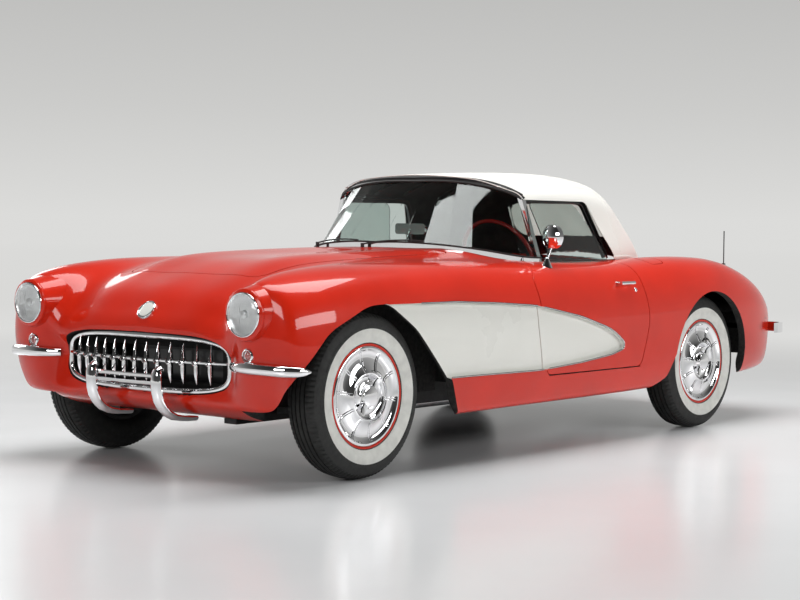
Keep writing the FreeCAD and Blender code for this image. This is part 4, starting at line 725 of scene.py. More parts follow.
def rounded(points: Sequence[tuple[float, float, float]], turn: float = 7.0) -> np.ndarray:
    """Closed outline through (u, v, corner radius) points, its corners rounded.

    Args:
        points: corners and their radii in millimetres.
        turn: degrees between the points of a corner.

    Returns:
        Array of (u, v).
    """
    made = []
    count = len(points)
    for index in range(count):
        corner = np.array(points[index][:2], dtype=float)
        before = np.array(points[index - 1][:2], dtype=float) - corner
        after = np.array(points[(index + 1) % count][:2], dtype=float) - corner
        before /= np.linalg.norm(before)
        after /= np.linalg.norm(after)
        reach = points[index][2]
        if not reach:
            made.append(corner)
            continue
        half = math.acos(max(-1.0, min(1.0, float(before @ after)))) / 2
        back = reach / math.tan(half)
        bisector = (before + after) / np.linalg.norm(before + after)
        centre = corner + bisector * (reach / math.sin(half))
        enter = corner + before * back - centre
        swing = math.pi - 2 * half
        sign = 1.0 if np.cross(before, after) < 0 else -1.0
        parts = max(2, int(math.degrees(swing) / turn) + 1)
        for step in range(parts + 1):
            angle = sign * swing * step / parts
            c, s = math.cos(angle), math.sin(angle)
            made.append(centre + np.array([c * enter[0] - s * enter[1], s * enter[0] + c * enter[1]]))
    kept = [made[0]]
    for point in made[1:]:
        if np.linalg.norm(point - kept[-1]) > 0.5:
            kept.append(point)
    if np.linalg.norm(kept[0] - kept[-1]) <= 0.5:
        kept.pop()
    return np.array(kept)


def grown(outline: np.ndarray, amount: float) -> np.ndarray:
    """Closed outline moved outwards by an amount."""
    area = 0.5 * np.sum(outline[:, 0] * np.roll(outline[:, 1], -1)
                        - np.roll(outline[:, 0], -1) * outline[:, 1])
    sign = 1.0 if area > 0 else -1.0
    before = outline - np.roll(outline, 1, axis=0)
    after = np.roll(outline, -1, axis=0) - outline
    before /= np.linalg.norm(before, axis=1, keepdims=True)
    after /= np.linalg.norm(after, axis=1, keepdims=True)
    out_a = np.stack([before[:, 1], -before[:, 0]], 1) * sign
    out_b = np.stack([after[:, 1], -after[:, 0]], 1) * sign
    middle = out_a + out_b
    middle /= np.maximum(np.linalg.norm(middle, axis=1, keepdims=True), 1e-9)
    scale = 1.0 / np.maximum((middle * out_a).sum(1, keepdims=True), 0.35)
    return outline + middle * amount * scale


def split_runs(outline: np.ndarray, longest: float = 60.0) -> np.ndarray:
    """Outline with its long runs divided."""
    made = []
    count = len(outline)
    for index in range(count):
        a, b = outline[index], outline[(index + 1) % count]
        parts = max(1, int(np.linalg.norm(b - a) / longest))
        made.extend(a + (b - a) * step / parts for step in range(parts))
    return np.array(made)


def prism(name: str, low: Sequence, high: Sequence) -> Thing:
    """Closed working mesh between two loops of the same number of points."""
    count = len(low)
    points = np.array([tuple(p) for p in low] + [tuple(p) for p in high])
    faces = [tuple(range(count)), tuple(range(2 * count - 1, count - 1, -1))]
    for index in range(count):
        after = (index + 1) % count
        faces.append((after, index, index + count, after + count))
    bm = bmesh.new()
    made = [bm.verts.new(p) for p in points]
    for face in faces:
        bm.faces.new([made[i] for i in face])
    bmesh.ops.recalc_face_normals(bm, faces=bm.faces)
    bmesh.ops.triangulate(bm, faces=[f for f in bm.faces if len(f.verts) > 4])
    return from_bmesh(name, bm, [Look.PAINT])


def side_prism(name: str, outline: np.ndarray, low: float, high: float) -> Thing:
    """Working prism of a side outline between two widths."""
    return prism(name, [at(x, low, z) for x, z in outline], [at(x, high, z) for x, z in outline])


def block(name: str, low: Sequence[float], high: Sequence[float]) -> Thing:
    """Working block between two design corners."""
    outline = ((low[0], low[1]), (high[0], low[1]), (high[0], high[1]), (low[0], high[1]))
    return prism(name, [at(x, y, low[2]) for x, y in outline], [at(x, y, high[2]) for x, y in outline])


RECORD = frame["record"]
BODY_OF = {node: body for body, nodes in RECORD["behaviour"]["bodies"].items() for node in nodes}
SLOT_OF = {row["node"]: row["material_slot"] for row in RECORD["subparts"]}


def settle(piece: Thing, body: str, slot: str, *nodes: str) -> Thing:
    """Put a finished piece on its body and hide the CAD nodes that it replaces.

    Args:
        piece: the new object.
        body: the CAD body that it rides on.
        slot: the record's material slot; not used.
        nodes: the CAD nodes that it replaces.

    Returns:
        The same piece.
    """
    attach(piece, body)
    if nodes:
        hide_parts(*nodes)
    return piece


COVE = ((0, 708, 0), (-520, 705, 900), (-800, 692, 900), (-1090, 672, 900), (-1425, 612, 900),
        (-1680, 542, 400), (-1814, 455, 24), (-1680, 424, 400), (-1430, 400, 900),
        (-1110, 382, 900), (-810, 384, 900), (-460, 387, 0), (-300, 420, 0), (0, 640, 0))
FRONT_ARCH = ((480, 150, 0), (480, 430, 150), (300, 612, 250), (60, 706, 300), (-90, 712, 160),
              (-265, 597, 260), (-482, 377, 80), (-541, 235, 0), (-541, 150, 0))
# Widest gap at which a face still counts as lying on a skin, and how near its normal has to be
ON_SKIN = 1.5 * MM
SAME_WAY = 0.7
# Room of the wheel arches: design x from and to, and z up to
ARCH_ROOMS = ((-560, 500, 735), (-2975, -2030, 730))
ARCH_Y = 560
# Centre of a headlamp: design x, y and z
LAMP_X, LAMP_Y, LAMP_Z = 545.0, 642.0, 680.0
# Grille opening: half width, centre z, half height, and the power of its superellipse
MOUTH = (490.0, 461.0, 123.0, 4.3)


def inside_outline(outline: np.ndarray, u: float, v: float) -> bool:
    """Whether a point lies inside a closed outline."""
    found = False
    before = outline[-1]
    for after in outline:
        if (after[1] > v) != (before[1] > v):
            cross = (before[0] - after[0]) * (v - after[1]) / (before[1] - after[1]) + after[0]
            if u < cross:
                found = not found
        before = after
    return found


class PanelZone(Enum):
    """Where a face of a body panel lies."""

    PAINT = 0
    COVE = 1
    INSIDE = 2
    MOUTH = 3


@dataclass(frozen=True)
class LampPod:
    """The tapered headlamp housing of one side, as a skin.

    Attributes:
        side: 1 for the car's left, -1 for its right.
        base: design x of its wide end.
        tip: design x of its lamp end.
        base_radius: radius at the wide end.
        tip_radius: radius at the lamp end.
    """

    side: int
    base: float = 345.0
    tip: float = LAMP_X
    base_radius: float = 150.0
    tip_radius: float = 101.0

    def nearest(self, point: Vector) -> tuple[Vector, Vector, float]:
        """Point on the cone level with one, its normal, and the distance from it."""
        centre = at((point.x - FRONT_AXLE) / MM, LAMP_Y * self.side, LAMP_Z)
        out = point - centre
        taper = (self.base_radius - self.tip_radius) / (self.tip - self.base)
        radius = (self.tip_radius + (self.tip - (point.x - FRONT_AXLE) / MM) * taper) * MM
        way = (out.normalized() + Vector((taper, 0, 0))).normalized()
        return centre + out.normalized() * radius, way, abs(out.length - radius)


def in_grille(y: float, z: float) -> bool:
    """Whether a design point lies in the outline of the grille's opening."""
    wide, middle, high, power = MOUTH
    return (abs(y) / wide) ** power + (abs(z - middle) / high) ** power < 1.0


@dataclass
class BodyShell:
    """The painted panels: copies of their solids with smooth normals and split colours.

    Attributes:
        outer: the body's outer skin.
        cove: the recessed floor of the side coves.
        panels: the CAD nodes that it copies.
    """

    outer: Surface = field(init=False)
    cove: Surface = field(init=False)
    panels: tuple[str, ...] = ("front_body", "rear_body", "sills", "hood", "deck_lid", "trunk_lid",
                               "fuel_door", "door_left", "door_right")

    def __post_init__(self) -> None:
        """Lay the two skins."""
        self.outer = Surface(body_grid(BODY_RINGS))
        self.cove = Surface(body_grid(BODY_RINGS[COVE_RINGS], COVE_DEPTH))
        self.cove_reach = grown(rounded(COVE), 4.0)

    def _zone(self, centre: Vector, normal: Vector, reach: float) -> tuple:
        """Zone of one face, and the skin whose smooth normals it takes."""
        x, y, z = (centre.x - FRONT_AXLE) / MM, abs(centre.y) / MM, centre.z / MM
        _, way, gap = self.outer.nearest(centre)
        facing = way.dot(normal)
        # Faces of the grille's opening take the near-black painted shade
        if x > 330 and in_grille(y, z):
            return PanelZone.MOUTH, None
        if x > 300 and gap > ON_SKIN:
            pod = LampPod(1 if centre.y > 0 else -1)
            _, pod_way, pod_gap = pod.nearest(centre)
            if pod_gap < 4 * MM and pod_way.dot(normal) > SAME_WAY:
                return PanelZone.PAINT, pod
            if normal.x > 0.9 and x > 540:
                return PanelZone.PAINT, None
        if gap < ON_SKIN and facing > SAME_WAY:
            return PanelZone.PAINT, self.outer
        in_cove = y > 600 and inside_outline(self.cove_reach, x, z)
        if in_cove and gap < 27 * MM and facing > -0.6:
            _, floor_way, floor_gap = self.cove.nearest(centre)
            if floor_gap < 4 * MM and floor_way.dot(normal) > SAME_WAY:
                return PanelZone.COVE, self.cove
            if x <= -540 or gap <= 22 * MM:
                return PanelZone.COVE, None
        in_arch = y > ARCH_Y and any(low < x < high and z < top for low, high, top in ARCH_ROOMS)
        if abs(facing) <= SAME_WAY and not in_arch and reach < 60 * MM:
            return PanelZone.PAINT, None
        return PanelZone.INSIDE, None

    def build(self) -> None:
        """Make every panel."""
        for name in self.panels:
            self._panel(name)

    def _panel(self, name: str) -> None:
        """Copy one solid's mesh, colour its faces and smooth its skin."""
        mesh = frame["nodes"][name].data.copy()
        door = name.startswith("door")
        dress(mesh, (Look.PAINT, Look.COVE, Look.VINYL if door else Look.UNDERCOAT, Look.DARK))
        normals = [tuple(n.vector) for n in mesh.corner_normals]
        vertices = mesh.vertices
        for face in mesh.polygons:
            reach = max((vertices[i].co - face.center).length for i in face.vertices)
            zone, surface = self._zone(face.center, face.normal, reach)
            if door and abs(face.normal.x) > 0.6 and abs(face.center.y) > 0.6:
                u, v = (face.center.x - FRONT_AXLE) / MM, face.center.z / MM
                in_cove = inside_outline(self.cove_reach, u, v)
                zone, surface = (PanelZone.COVE if in_cove else PanelZone.PAINT), None
            face.material_index = zone.value
            face.use_smooth = True
            for corner, index in zip(face.loop_indices, face.vertices):
                if surface is not None:
                    normals[corner] = tuple(surface.nearest(vertices[index].co)[1])
                elif zone is not PanelZone.INSIDE:
                    normals[corner] = tuple(face.normal)
        mesh.normals_split_custom_set(normals)
        settle(linked(name + "_panel", mesh), BODY_OF[name], SLOT_OF[name], name)
        log.info("panel %s: %d faces", name, len(mesh.polygons))


# Wheels

@dataclass(frozen=True)
class WheelCorner:
    """One wheel of the car.

    Attributes:
        name: such as front_left.
        x: design x of its centre.
        half_track: distance of its centre from the centre plane.
        side: 1 on the left, -1 on the right.
    """

    name: str
    x: float
    half_track: float
    side: int

    @property
    def centre(self) -> Vector:
        """Centre of the wheel in the frame."""
        return at(self.x, self.half_track * self.side, TYRE_RADIUS)

    @property
    def axis(self) -> Vector:
        """Unit vector out of the wheel's face."""
        return Vector((0, float(self.side), 0))


TYRE_RADIUS = 338.0
# Radii of the white band
WHITE_FROM, WHITE_TO = 217, 274.5
# Raised ribs of the wheel cover
RIB_PAIRS = 10
RIB_TILT = math.radians(8.0)
CORNERS = tuple(WheelCorner(f"{end}_{side}", x, half, sign)
                for end, x, half in (("front", 0.0, 724.0), ("rear", -2591.0, 749.5))
                for side, sign in (("left", 1), ("right", -1)))


@dataclass(frozen=True)
class TyreShape:
    """Section of a wide-whitewall tyre, in millimetres.

    Attributes:
        grooves: half-width positions of the tread's grooves.
        steps: points round the tyre.
        sipe: steps between shoulder cuts.
        side: (radius, height) of the outer sidewall, from the bead to the shoulder.
    """

    grooves: tuple[float, ...] = (-34.0, -12.0, 12.0, 34.0)
    steps: int = 288
    sipe: int = 3
    side: tuple[tuple[float, float], ...] = (
        (204, 58), (207, 65), (212, 69), (217, 71.5), (218, 73.5), (228, 78), (240, 81.5), (252, 84),
        (264, 85), (274, 84.6), (275.5, 83.2), (277, 83.6), (285, 82.5), (286.5, 81.2), (288, 81.6),
        (300, 78), (310, 73.5), (318, 69), (325, 63.5), (330, 58), (332.5, 54))

    @staticmethod
    def crown(y: float) -> float:
        """Radius of the tread at a distance from its middle."""
        return TYRE_RADIUS - 5.4 * (abs(y) / 54.0) ** 2

    def section(self) -> list[tuple]:
        """Closed (radius, height) section from the outer bead round to the inner bead."""
        outer = list(self.side)
        tread = []
        for groove in sorted(self.grooves, reverse=True):
            for shift, depth in ((3.4, 0.0), (2.4, 6.0), (-2.4, 6.0), (-3.4, 0.0)):
                y = groove + shift
                tread.append((self.crown(y) - depth, y))
            if groove != min(self.grooves):
                tread.append((self.crown(groove - 11.0), groove - 11.0))
        inner = [(r, -y) for r, y in reversed(outer)]
        return outer + tread + inner + [(200, -52), (199, 0), (200, 52), outer[0]]


@dataclass
class Wheels:
    """Tyres, rim rings and wheel covers of the four corners.

    Attributes:
        shape: the tyre's section.
        cover: (radius, height) of the wheel cover, from its face round to its back.
        ring: (radius, height) of the painted ring of the rim.
    """

    shape: TyreShape = TyreShape()
    cover: tuple[tuple[float, float], ...] = (
        (0, 93.5), (38, 93), (42.5, 91), (44.5, 87), (46, 80), (50, 72.5), (58, 68.4), (70, 67),
        (80, 68), (85, 71), (88, 77), (91, 80.6), (95, 81.6), (99, 80.2), (103, 76.5), (110, 71.5),
        (125, 65), (140, 60.6), (156, 58), (170, 58.4), (179, 61), (185, 65), (188.5, 69), (192, 71.6),
        (197, 72), (201, 70.6), (203.5, 68), (204, 66.3), (190, 64.4), (179, 50), (150, 48), (84, 60),
        (44, 65), (0, 65))
    ring: tuple[tuple[float, float], ...] = (
        (204.2, 60), (204.2, 67), (205.5, 69.6), (209, 70.6), (213, 69.6), (215.2, 66), (215, 58),
        (204.2, 60))

    def build(self) -> None:
        """Make the pieces of every corner."""
        for corner in CORNERS:
            body = f"wheel_{corner.name}"
            settle(self._tyre(corner), body, "tyre_rubber", f"tyre_{corner.name}")
            settle(self._cover(corner), body, "wheel_steel")
            ring = turned(f"rim_ring_{corner.name}", self.ring, corner.centre, corner.axis, Look.PAINT, 128)
            settle(ring, body, "wheel_steel")

    def _tyre(self, corner: WheelCorner) -> Thing:
        """Tyre with ribbed tread, cut shoulders and a white sidewall."""
        section = self.shape.section()
        shoulders = {i for i, (r, y) in enumerate(section) if 322 <= r <= 333.5 and abs(y) >= 54}

        def warp(radius: float, height: float, angle: float, index: int) -> tuple[float, float]:
            step = int(round(angle / (2 * math.pi) * self.shape.steps))
            if index in shoulders and step % self.shape.sipe == 0:
                return radius - 3.0, height * 0.94
            return radius, height

        points, faces = revolve(section, corner.centre, corner.axis, self.shape.steps, warp)
        bm = bmesh.new()
        made = [bm.verts.new(p) for p in points]
        for face in faces:
            radius, height = section[face[0] // self.shape.steps]
            after, _ = section[face[2] // self.shape.steps]
            white = height > 0 and all(WHITE_FROM <= r <= WHITE_TO for r in (radius, after))
            bm.faces.new([made[i] for i in face]).material_index = int(white)
        bmesh.ops.remove_doubles(bm, verts=bm.verts, dist=1e-6)
        return from_bmesh(f"tyre_{corner.name}_tread", bm, [Look.TYRE, Look.WHITEWALL], 24.0)

    def _height(self, radius: float) -> float:
        """Height of the cover's face at a radius."""
        face = self.cover[:27]
        return float(np.interp(radius, [r for r, _ in face], [h for _, h in face]))

    def _cover(self, corner: WheelCorner) -> Thing:
        """Full wheel cover with paired ribs and a two-eared centre."""
        parts = [revolve(self.cover, corner.centre, corner.axis, 120)]
        axis = corner.axis
        across = Vector((1, 0, 0))
        up = Vector((0, 0, 1))
        outline = [(-2.6, 0), (2.6, 0), (2.0, 2.2), (0.7, 3.2), (-0.7, 3.2), (-2.0, 2.2)]
        radii = (101, 108, 120, 134, 148, 162, 174, 182, 187)
        scale = [0.5] + [1.0] * (len(radii) - 2) + [0.5]
        for number in range(RIB_PAIRS):
            angle = 2 * math.pi * number / RIB_PAIRS + RIB_TILT
            way = across * math.cos(angle) + up * math.sin(angle)
            beside = axis.cross(way)
            for shift in (-5.0, 5.0):
                line = [corner.centre + way * (radius * MM) + beside * (shift * MM)
                        + axis * ((self._height(radius) - 0.6) * MM) for radius in radii]
                parts.append(sweep(line, outline, [axis] * len(line), scale=scale))
        for turn in (128.0, 308.0):
            angle = math.radians(turn)
            way = across * math.cos(angle) + up * math.sin(angle)
            line = [corner.centre + way * (r * MM) + axis * (h * MM)
                    for r, h in ((30, 85), (44, 85), (56, 84), (68, 85), (78, 88), (86, 92), (90, 94))]
            outline = [(-15, -3), (15, -3), (17, 0), (14, 4.5), (0, 7), (-14, 4.5), (-17, 0)]
            scale = [0.9, 0.95, 0.92, 0.9, 0.86, 0.74, 0.45]
            parts.append(sweep(line, outline, [axis] * len(line), scale=scale))
        return join(f"wheel_cover_{corner.name}", parts, [Look.CHROME], 30.0)


# Nose: lamps, grille and bumper

def tooth_x(y: float) -> float:
    """Design x of the bar that carries the teeth, bowed ahead of the ring."""
    return 530 - 72 * (y / 500.0) ** 2


@dataclass
class Nose:
    """Lamps, grille teeth, guards and blades of the car's front.

    Attributes:
        skin: the body's outer skin, which the pieces seat on.
        tooth_pitch: distance between the grille's teeth.
        bar_level: design z of the bar that carries them.
    """

    skin: Surface
    tooth_pitch: float = 65.0
    bar_level: float = 475.0

    def build(self) -> None:
        """Make every piece of the nose."""
        self._lamps()
        self._teeth()
        self._bumper()
        self._emblem()

    def _lamps(self) -> None:
        """Sealed-beam lamps and the small parking lamps under them."""
        forward = Vector((1, 0, 0))
        pieces = []
        for name, side in (("left", 1), ("right", -1)):
            spot = at(LAMP_X, LAMP_Y * side, LAMP_Z)
            rim = [(96, 0.2), (100.5, 1), (101.5, 5), (100, 9.5), (95.5, 12.5), (91.5, 13.5), (89.5, 15),
                   (88, 13), (88, 0.2), (96, 0.2)]
            pieces.append(turned(f"headlamp_bezel_{name}", rim, spot, forward, Look.PAINT, 96))
            ring = [(87.8, 3), (87.8, 15), (86.6, 18.4), (84, 19.6), (81.6, 18.2), (81.2, 15), (81.2, 3),
                    (87.8, 3)]
            pieces.append(turned(f"headlamp_ring_{name}", ring, spot, forward, Look.CHROME, 96))
            bowl = [(81, 15), (76, 10.4), (66, 6.0), (54, 3.6), (40, 2.2), (24, 1.4), (16, 1.2), (15, 8),
                    (12, 14), (7, 17), (0, 18), (0, 0.4), (81, 0.4), (81, 15)]
            pieces.append(turned(f"headlamp_reflector_{name}", bowl, spot, forward, Look.REFLECTOR, 96))
            pieces.append(self._lens(f"headlamp_lens_{name}", spot))
            park = at(500, 641 * side, 520)
            bezel = [(0, 0), (31, 0), (31.5, 18), (30.5, 30), (28, 35.5), (24.5, 38), (22, 37), (20.8, 33),
                     (20, 29), (20.4, 24), (0, 24)]
            pieces.append(turned(f"parking_bezel_{name}", bezel, park, forward, Look.CHROME, 64))
            cup = [(0, 27.3), (19.6, 29.2), (20.0, 27.6), (0, 25.0)]
            pieces.append(turned(f"parking_cup_{name}", cup, park, forward, Look.REFLECTOR, 48))
            lens = [(0, 43.5), (7, 42.8), (14, 40), (18.5, 35.8), (20.4, 31.5), (20.4, 29.3), (17.6, 29.3),
                    (15.6, 34), (11, 38), (6, 40.2), (0, 41)]
            pieces.append(turned(f"parking_lens_{name}", lens, park, forward, Look.LENS, 48))
        for number, piece in enumerate(pieces):
            settle(piece, "body", "lamp_glass", *(["front_lamps"] if number == 0 else []))

    @staticmethod
    def _lens(name: str, spot: Vector) -> Thing:
        """Domed lens with upright flutes pressed into its inner face."""
        outside = []
        inside = []
        for step in range(13):
            radius = 81.0 * math.sin(math.pi / 2 * step / 12)
            rise = 16.5 + 21.0 * math.cos(math.pi / 2 * step / 12) ** 1.25
            outside.append((radius, rise))
            inside.append((radius, rise - 2.6))
        profile = outside + inside[::-1]

        def warp(radius: float, height: float, angle: float, index: int) -> tuple[float, float]:
            if index >= len(outside):
                across = radius * math.cos(angle)
                return radius, height - 0.55 * (1 + math.cos(across / 9.0 * 2 * math.pi))
            return radius, height

        return turned(name, profile, spot, Vector((1, 0, 0)), Look.LENS, 128, warp, 60.0)

    def _teeth(self) -> None:
        """Thirteen pointed teeth on a bar, each with a pointed collar."""
        parts = []
        up = Vector((0, 0, 1))
        for index in range(-6, 7):
            y = index * self.tooth_pitch
            x = tooth_x(y)
            bow = math.sin(math.atan2(-144.0 * y / 250000.0, 1.0))
            forward = Vector((1, -bow * 0.6, 0)).normalized()
            line = []
            scale = []
            for step in range(15):
                share = step / 14.0
                z = 386 + 163 * share
                away = abs(share - 0.45) / (0.55 if share > 0.45 else 0.45)
                line.append(at(x - 5 * away ** 2.0, y, z))
                scale.append(max(0.06, 1 - away ** 2.3) * (0.66 + 0.34 * (1 - share)))
            outline = [(-10, -13), (10, -13), (12, -3), (9.5, 7), (4.5, 13), (0, 15.5), (-4.5, 13),
                       (-9.5, 7), (-12, -3)]
            parts.append(sweep(line, outline, [forward] * len(line), scale=scale))
            level = self.bar_level
            for sign in (1, -1):
                collar = [at(x + 16, y, level - 10), at(x + 11, y + sign * 11, level - 1),
                          at(x - 4, y + sign * 23, level + 6)]
                parts.append(sweep(collar, round_outline(5.0, 8), [up] * 3, scale=[0.75, 1.0, 0.55]))
        bar = [at(tooth_x(y), y, self.bar_level) for y in (-466 + 932 * step / 40.0 for step in range(41))]
        parts.append(sweep(bar, [(-5, -5), (5, -5), (6, 0), (5, 5), (-5, 5), (-6, 0)], [up] * len(bar)))
        piece = join("grille_teeth_chrome", parts, [Look.CHROME], 40.0)
        settle(piece, "body", "chrome_trim", "grille_teeth")

    def _bumper(self) -> None:
        """Guards, their cross bars and the two wrap-round blades."""
        parts = []
        for side in (1, -1):
            y = 195.0 * side
            path = ((560, 444), (576, 447), (589, 438), (596, 418), (596, 385), (592, 350), (582, 318),
                    (564, 290), (538, 267), (500, 249), (455, 241), (410, 237), (378, 235))
            line = [at(x, y, z) for x, z in path]
            normals = []
            for index in range(len(line)):
                run = (line[min(index + 1, len(line) - 1)] - line[max(index - 1, 0)]).normalized()
                normals.append(Vector((0, 1, 0)).cross(run) * -1.0)
            outline = [(-24, -12), (24, -12), (27, -5), (25, 4), (18, 11), (7, 15), (-7, 15), (-18, 11),
                       (-25, 4), (-27, -5)]
            scale = [0.35, 0.72, 0.92, 1.0, 1.0, 1.0, 1.0, 1.0, 0.98, 0.94, 0.88, 0.8, 0.76]
            parts.append(sweep(line, outline, normals, scale=scale))
        for level in (388.0, 416.0):
            line = [at(590 - 9 * (y / 195.0) ** 2, y, level)
                    for y in (-195 + 390 * step / 12.0 for step in range(13))]
            outline = [(-8, -6), (8, -6), (8.5, 1), (5, 6), (-5, 6), (-8.5, 1)]
            parts.append(sweep(line, outline, [Vector((1, 0, 0))] * len(line)))
        parts.extend(self._blade(side) for side in (1, -1))
        piece = join("front_bumper_chrome", parts, [Look.CHROME], 35.0)
        settle(piece, "body", "chrome_trim", "front_bumper")

    def _blade(self, side: int) -> tuple[list, list]:
        """Tapered blade that follows the fender round to the arch."""
        stations = ((505, 500, 470), (528, 540, 470), (545, 590, 470), (550, 645, 470), (536, 705, 470),
                    (505, 765, 469), (478, 806, 468), (452, 830, 466), (428, 848, 464), (410, 860, 463))
        line = []
        normals = []
        for x, y, z in stations:
            spot, way, _ = self.skin.nearest(at(x, y * side, z))
            way = Vector((way.x, way.y, 0)).normalized()
            line.append(spot + way * (12 * MM))
            normals.append(way)
        line, normals = smoothed(line, normals, 4)
        count = len(line)
        outline = [(-21, -10), (21, -10), (23, -3), (20, 5), (12, 11), (0, 13.5), (-12, 11), (-20, 5),
                   (-23, -3)]
        scale = []
        for index in range(count):
            share = index / (count - 1)
            scale.append(0.72 + 0.28 * math.sin(min(share * 2.2, 1.0) * math.pi / 2)
                         if share < 0.55 else 1.0 - 0.86 * ((share - 0.55) / 0.45) ** 2.4)
        return sweep(line, outline, normals, scale=scale)

    def _emblem(self) -> None:
        """Plain round disc in a ring on the nose."""
        spot, way = self.skin.hit(at(900, 0, 670), Vector((-1, 0, 0)))
        profile = [(0, 7.5), (20, 6.8), (34, 5.4), (37, 5.0), (38, 7.0), (41, 8.2), (44, 7.0), (45, 3.0),
                   (45, -6), (0, -6)]
        settle(turned("nose_disc", profile, spot, way, Look.CHROME, 72), "body", "chrome_trim")
        face = [(0, 9.6), (18, 9.0), (31, 7.6), (34.5, 6.4), (35.5, 4.6), (0, 4.6)]
        settle(turned("nose_disc_face", face, spot, way, Look.COVE, 72), "body", "chrome_trim")


def smoothed(line: Sequence[Vector], normals: Sequence[Vector], parts: int) -> tuple[list, list]:
    """A line and its normals resampled along a smooth curve."""
    points = np.array([tuple(p) for p in line])
    steps = np.concatenate([[0.0], np.cumsum(np.linalg.norm(np.diff(points, axis=0), axis=1))])
    wanted = np.append(refined(steps, parts), steps[-1])
    ways = np.array([tuple(n) for n in normals])
    return ([Vector(p) for p in spline_at(points, steps, wanted)],
            [Vector(n).normalized() for n in spline_at(ways, steps, wanted)])


# Lines and strips on a skin

def smooth_line(points: Sequence[Sequence[float]], parts: int = 8) -> list[Vector]:
    """Smooth line through design points, in metres."""
    array = np.array(points, dtype=float)
    steps = shared_steps(array[None])
    return [at(*p) for p in spline_at(array, steps, np.append(refined(steps, parts), steps[-1]))]


def strip_on(surface: Surface, line: Sequence[Vector], outline: Pairs,
             lift: float = 0.0) -> tuple[list, list]:
    """Bar laid on a skin along a line of points near it."""
    spots, normals = [], []
    for point in line:
        spot, normal, _ = surface.nearest(point)
        spots.append(spot + normal * (lift * MM))
        normals.append(normal)
    return sweep(spots, outline, normals)


def half_round(width: float, height: float, sides: int = 10) -> list[tuple]:
    """Outline of a bead: a half ellipse on a shallow foot."""
    made = [(width / 2 * math.cos(math.pi * i / sides), height * math.sin(math.pi * i / sides))
            for i in range(sides + 1)]
    return made + [(-width / 2, -height * 0.5), (width / 2, -height * 0.5)]


def rounded_box(wide: float, high: float, radius: float, turn: float = 7.0) -> list[tuple]:
    """Outline of a bar of twice a width and a height, its edges rounded."""
    corners = ((-wide, -high, radius), (wide, -high, radius), (wide, high, radius), (-wide, high, radius))
    return [tuple(p) for p in rounded(corners, turn)]


# Side trim and the windshield's seals

DOOR = ((-1165, 358, 35), (-1126, 560, 600), (-1110, 776, 70), (-1178, 846, 60), (-1262, 905, 0),
        (-1962, 905, 0), (-1964, 743, 300), (-1992, 574, 220), (-1928, 357, 40))
SHIELD_BASE = ((-1402, 650, 862), (-1262, 612, 872), (-1142, 520, 896), (-1040, 300, 922), (-1006, 0, 926))
SHIELD_TOP = ((-1378, 562, 1160), (-1330, 482, 1202), (-1280, 300, 1238), (-1264, 0, 1246))


class SideTrim:
    """Beads round the coves, the windshield's seals and the door locks."""

    def __init__(self, body: Surface) -> None:
        """Keep the body's skin that the trim lies on.

        Args:
            body: the body's outer skin.
        """
        self.body = body
        self.door = rounded(DOOR)

    def build(self) -> None:
        """Make every piece of side trim."""
        for sign, side in ((1, "left"), (-1, "right")):
            self._cove_bead(sign, side)
            self._lock(sign, side)
        self._windshield()

    def _cove_bead(self, sign: int, side: str) -> None:
        """Bright bead round one cove on a wider black strip that paints the shadow line along its edge,
        split at the door's seam.
        """
        outline = split_runs(rounded(COVE), 18.0)
        arch = rounded(FRONT_ARCH)
        door_out = grown(self.door, 4.5)
        door_in = grown(self.door, -1.5)
        runs = {"front": [], "door": []}
        last = ""
        for x, z in np.vstack([outline, outline[:1]]):
            kind = ""
            if inside_outline(door_in, x, z):
                kind = "door"
            elif -1180 < x < -268 and not inside_outline(door_out, x, z) and not inside_outline(arch, x, z):
                kind = "front"
            if kind and kind != last:
                runs[kind].append([])
            if kind:
                runs[kind][-1].append((x, z))
            last = kind
        for kind, body in (("front", "body"), ("door", "door_" + side)):
            parts = []
            for run in runs[kind]:
                if len(run) < 3:
                    continue
                line = [self.body.side(x, z, sign > 0)[0] for x, z in run]
                # The wide black strip under the bead is a painted shadow line along the cove's edge
                parts.append((*strip_on(self.body, line, half_round(7.5, 0.5), 0.1), 1))
                parts.append((*strip_on(self.body, line, half_round(3.6, 1.6), 0.3), 0))
            piece = join(f"cove_bead_{kind}_{side}", parts, [Look.CHROME, Look.SEAL])
            settle(piece, body, "chrome_trim")

    def _lock(self, sign: int, side: str) -> None:
        """Round key lock below the door handle."""
        spot, normal = self.body.side(-1893, 722, sign > 0)
        profile = [(0, -2), (10.5, -2), (10.5, 1.2), (9.2, 2.8), (7.0, 3.4), (6.6, 2.2), (2.2, 2.2),
                   (2.0, 0.8), (0, 0.8)]
        piece = turned(f"door_lock_{side}", profile, spot, normal, Look.CHROME, 40)
        settle(piece, "door_" + side, "chrome_trim")

    @staticmethod
    def _windshield() -> None:
        """Rubber seals along the base and the top of the windshield's frame."""
        base = smooth_line(SHIELD_BASE, 8)
        top = smooth_line(SHIELD_TOP, 8)
        parts = []
        for line, lift, width in ((base, 15.0, 9.0), (top, -15.5, 8.0)):
            whole = line + mirrored(line[-2::-1])
            outs = []
            for index in range(len(whole)):
                run = whole[min(index + 1, len(whole) - 1)] - whole[max(index - 1, 0)]
                outs.append(Vector((-run.y, run.x, 0)).normalized() * -1.0)
            inner = [p + Vector((0, 0, lift * MM)) - o * (5.0 * MM) for p, o in zip(whole, outs)]
            outline = [(u * 0.5, v) for u, v in rounded_box(width, 4.0, 2, 30)]
            parts.append(sweep(inner, outline, [Vector((0, 0, 1))] * len(inner)))
        piece = join("windshield_seals", parts, [Look.SEAL])
        settle(piece, BODY_OF["windshield_frame"], SLOT_OF["windshield_frame"])


# Soft top

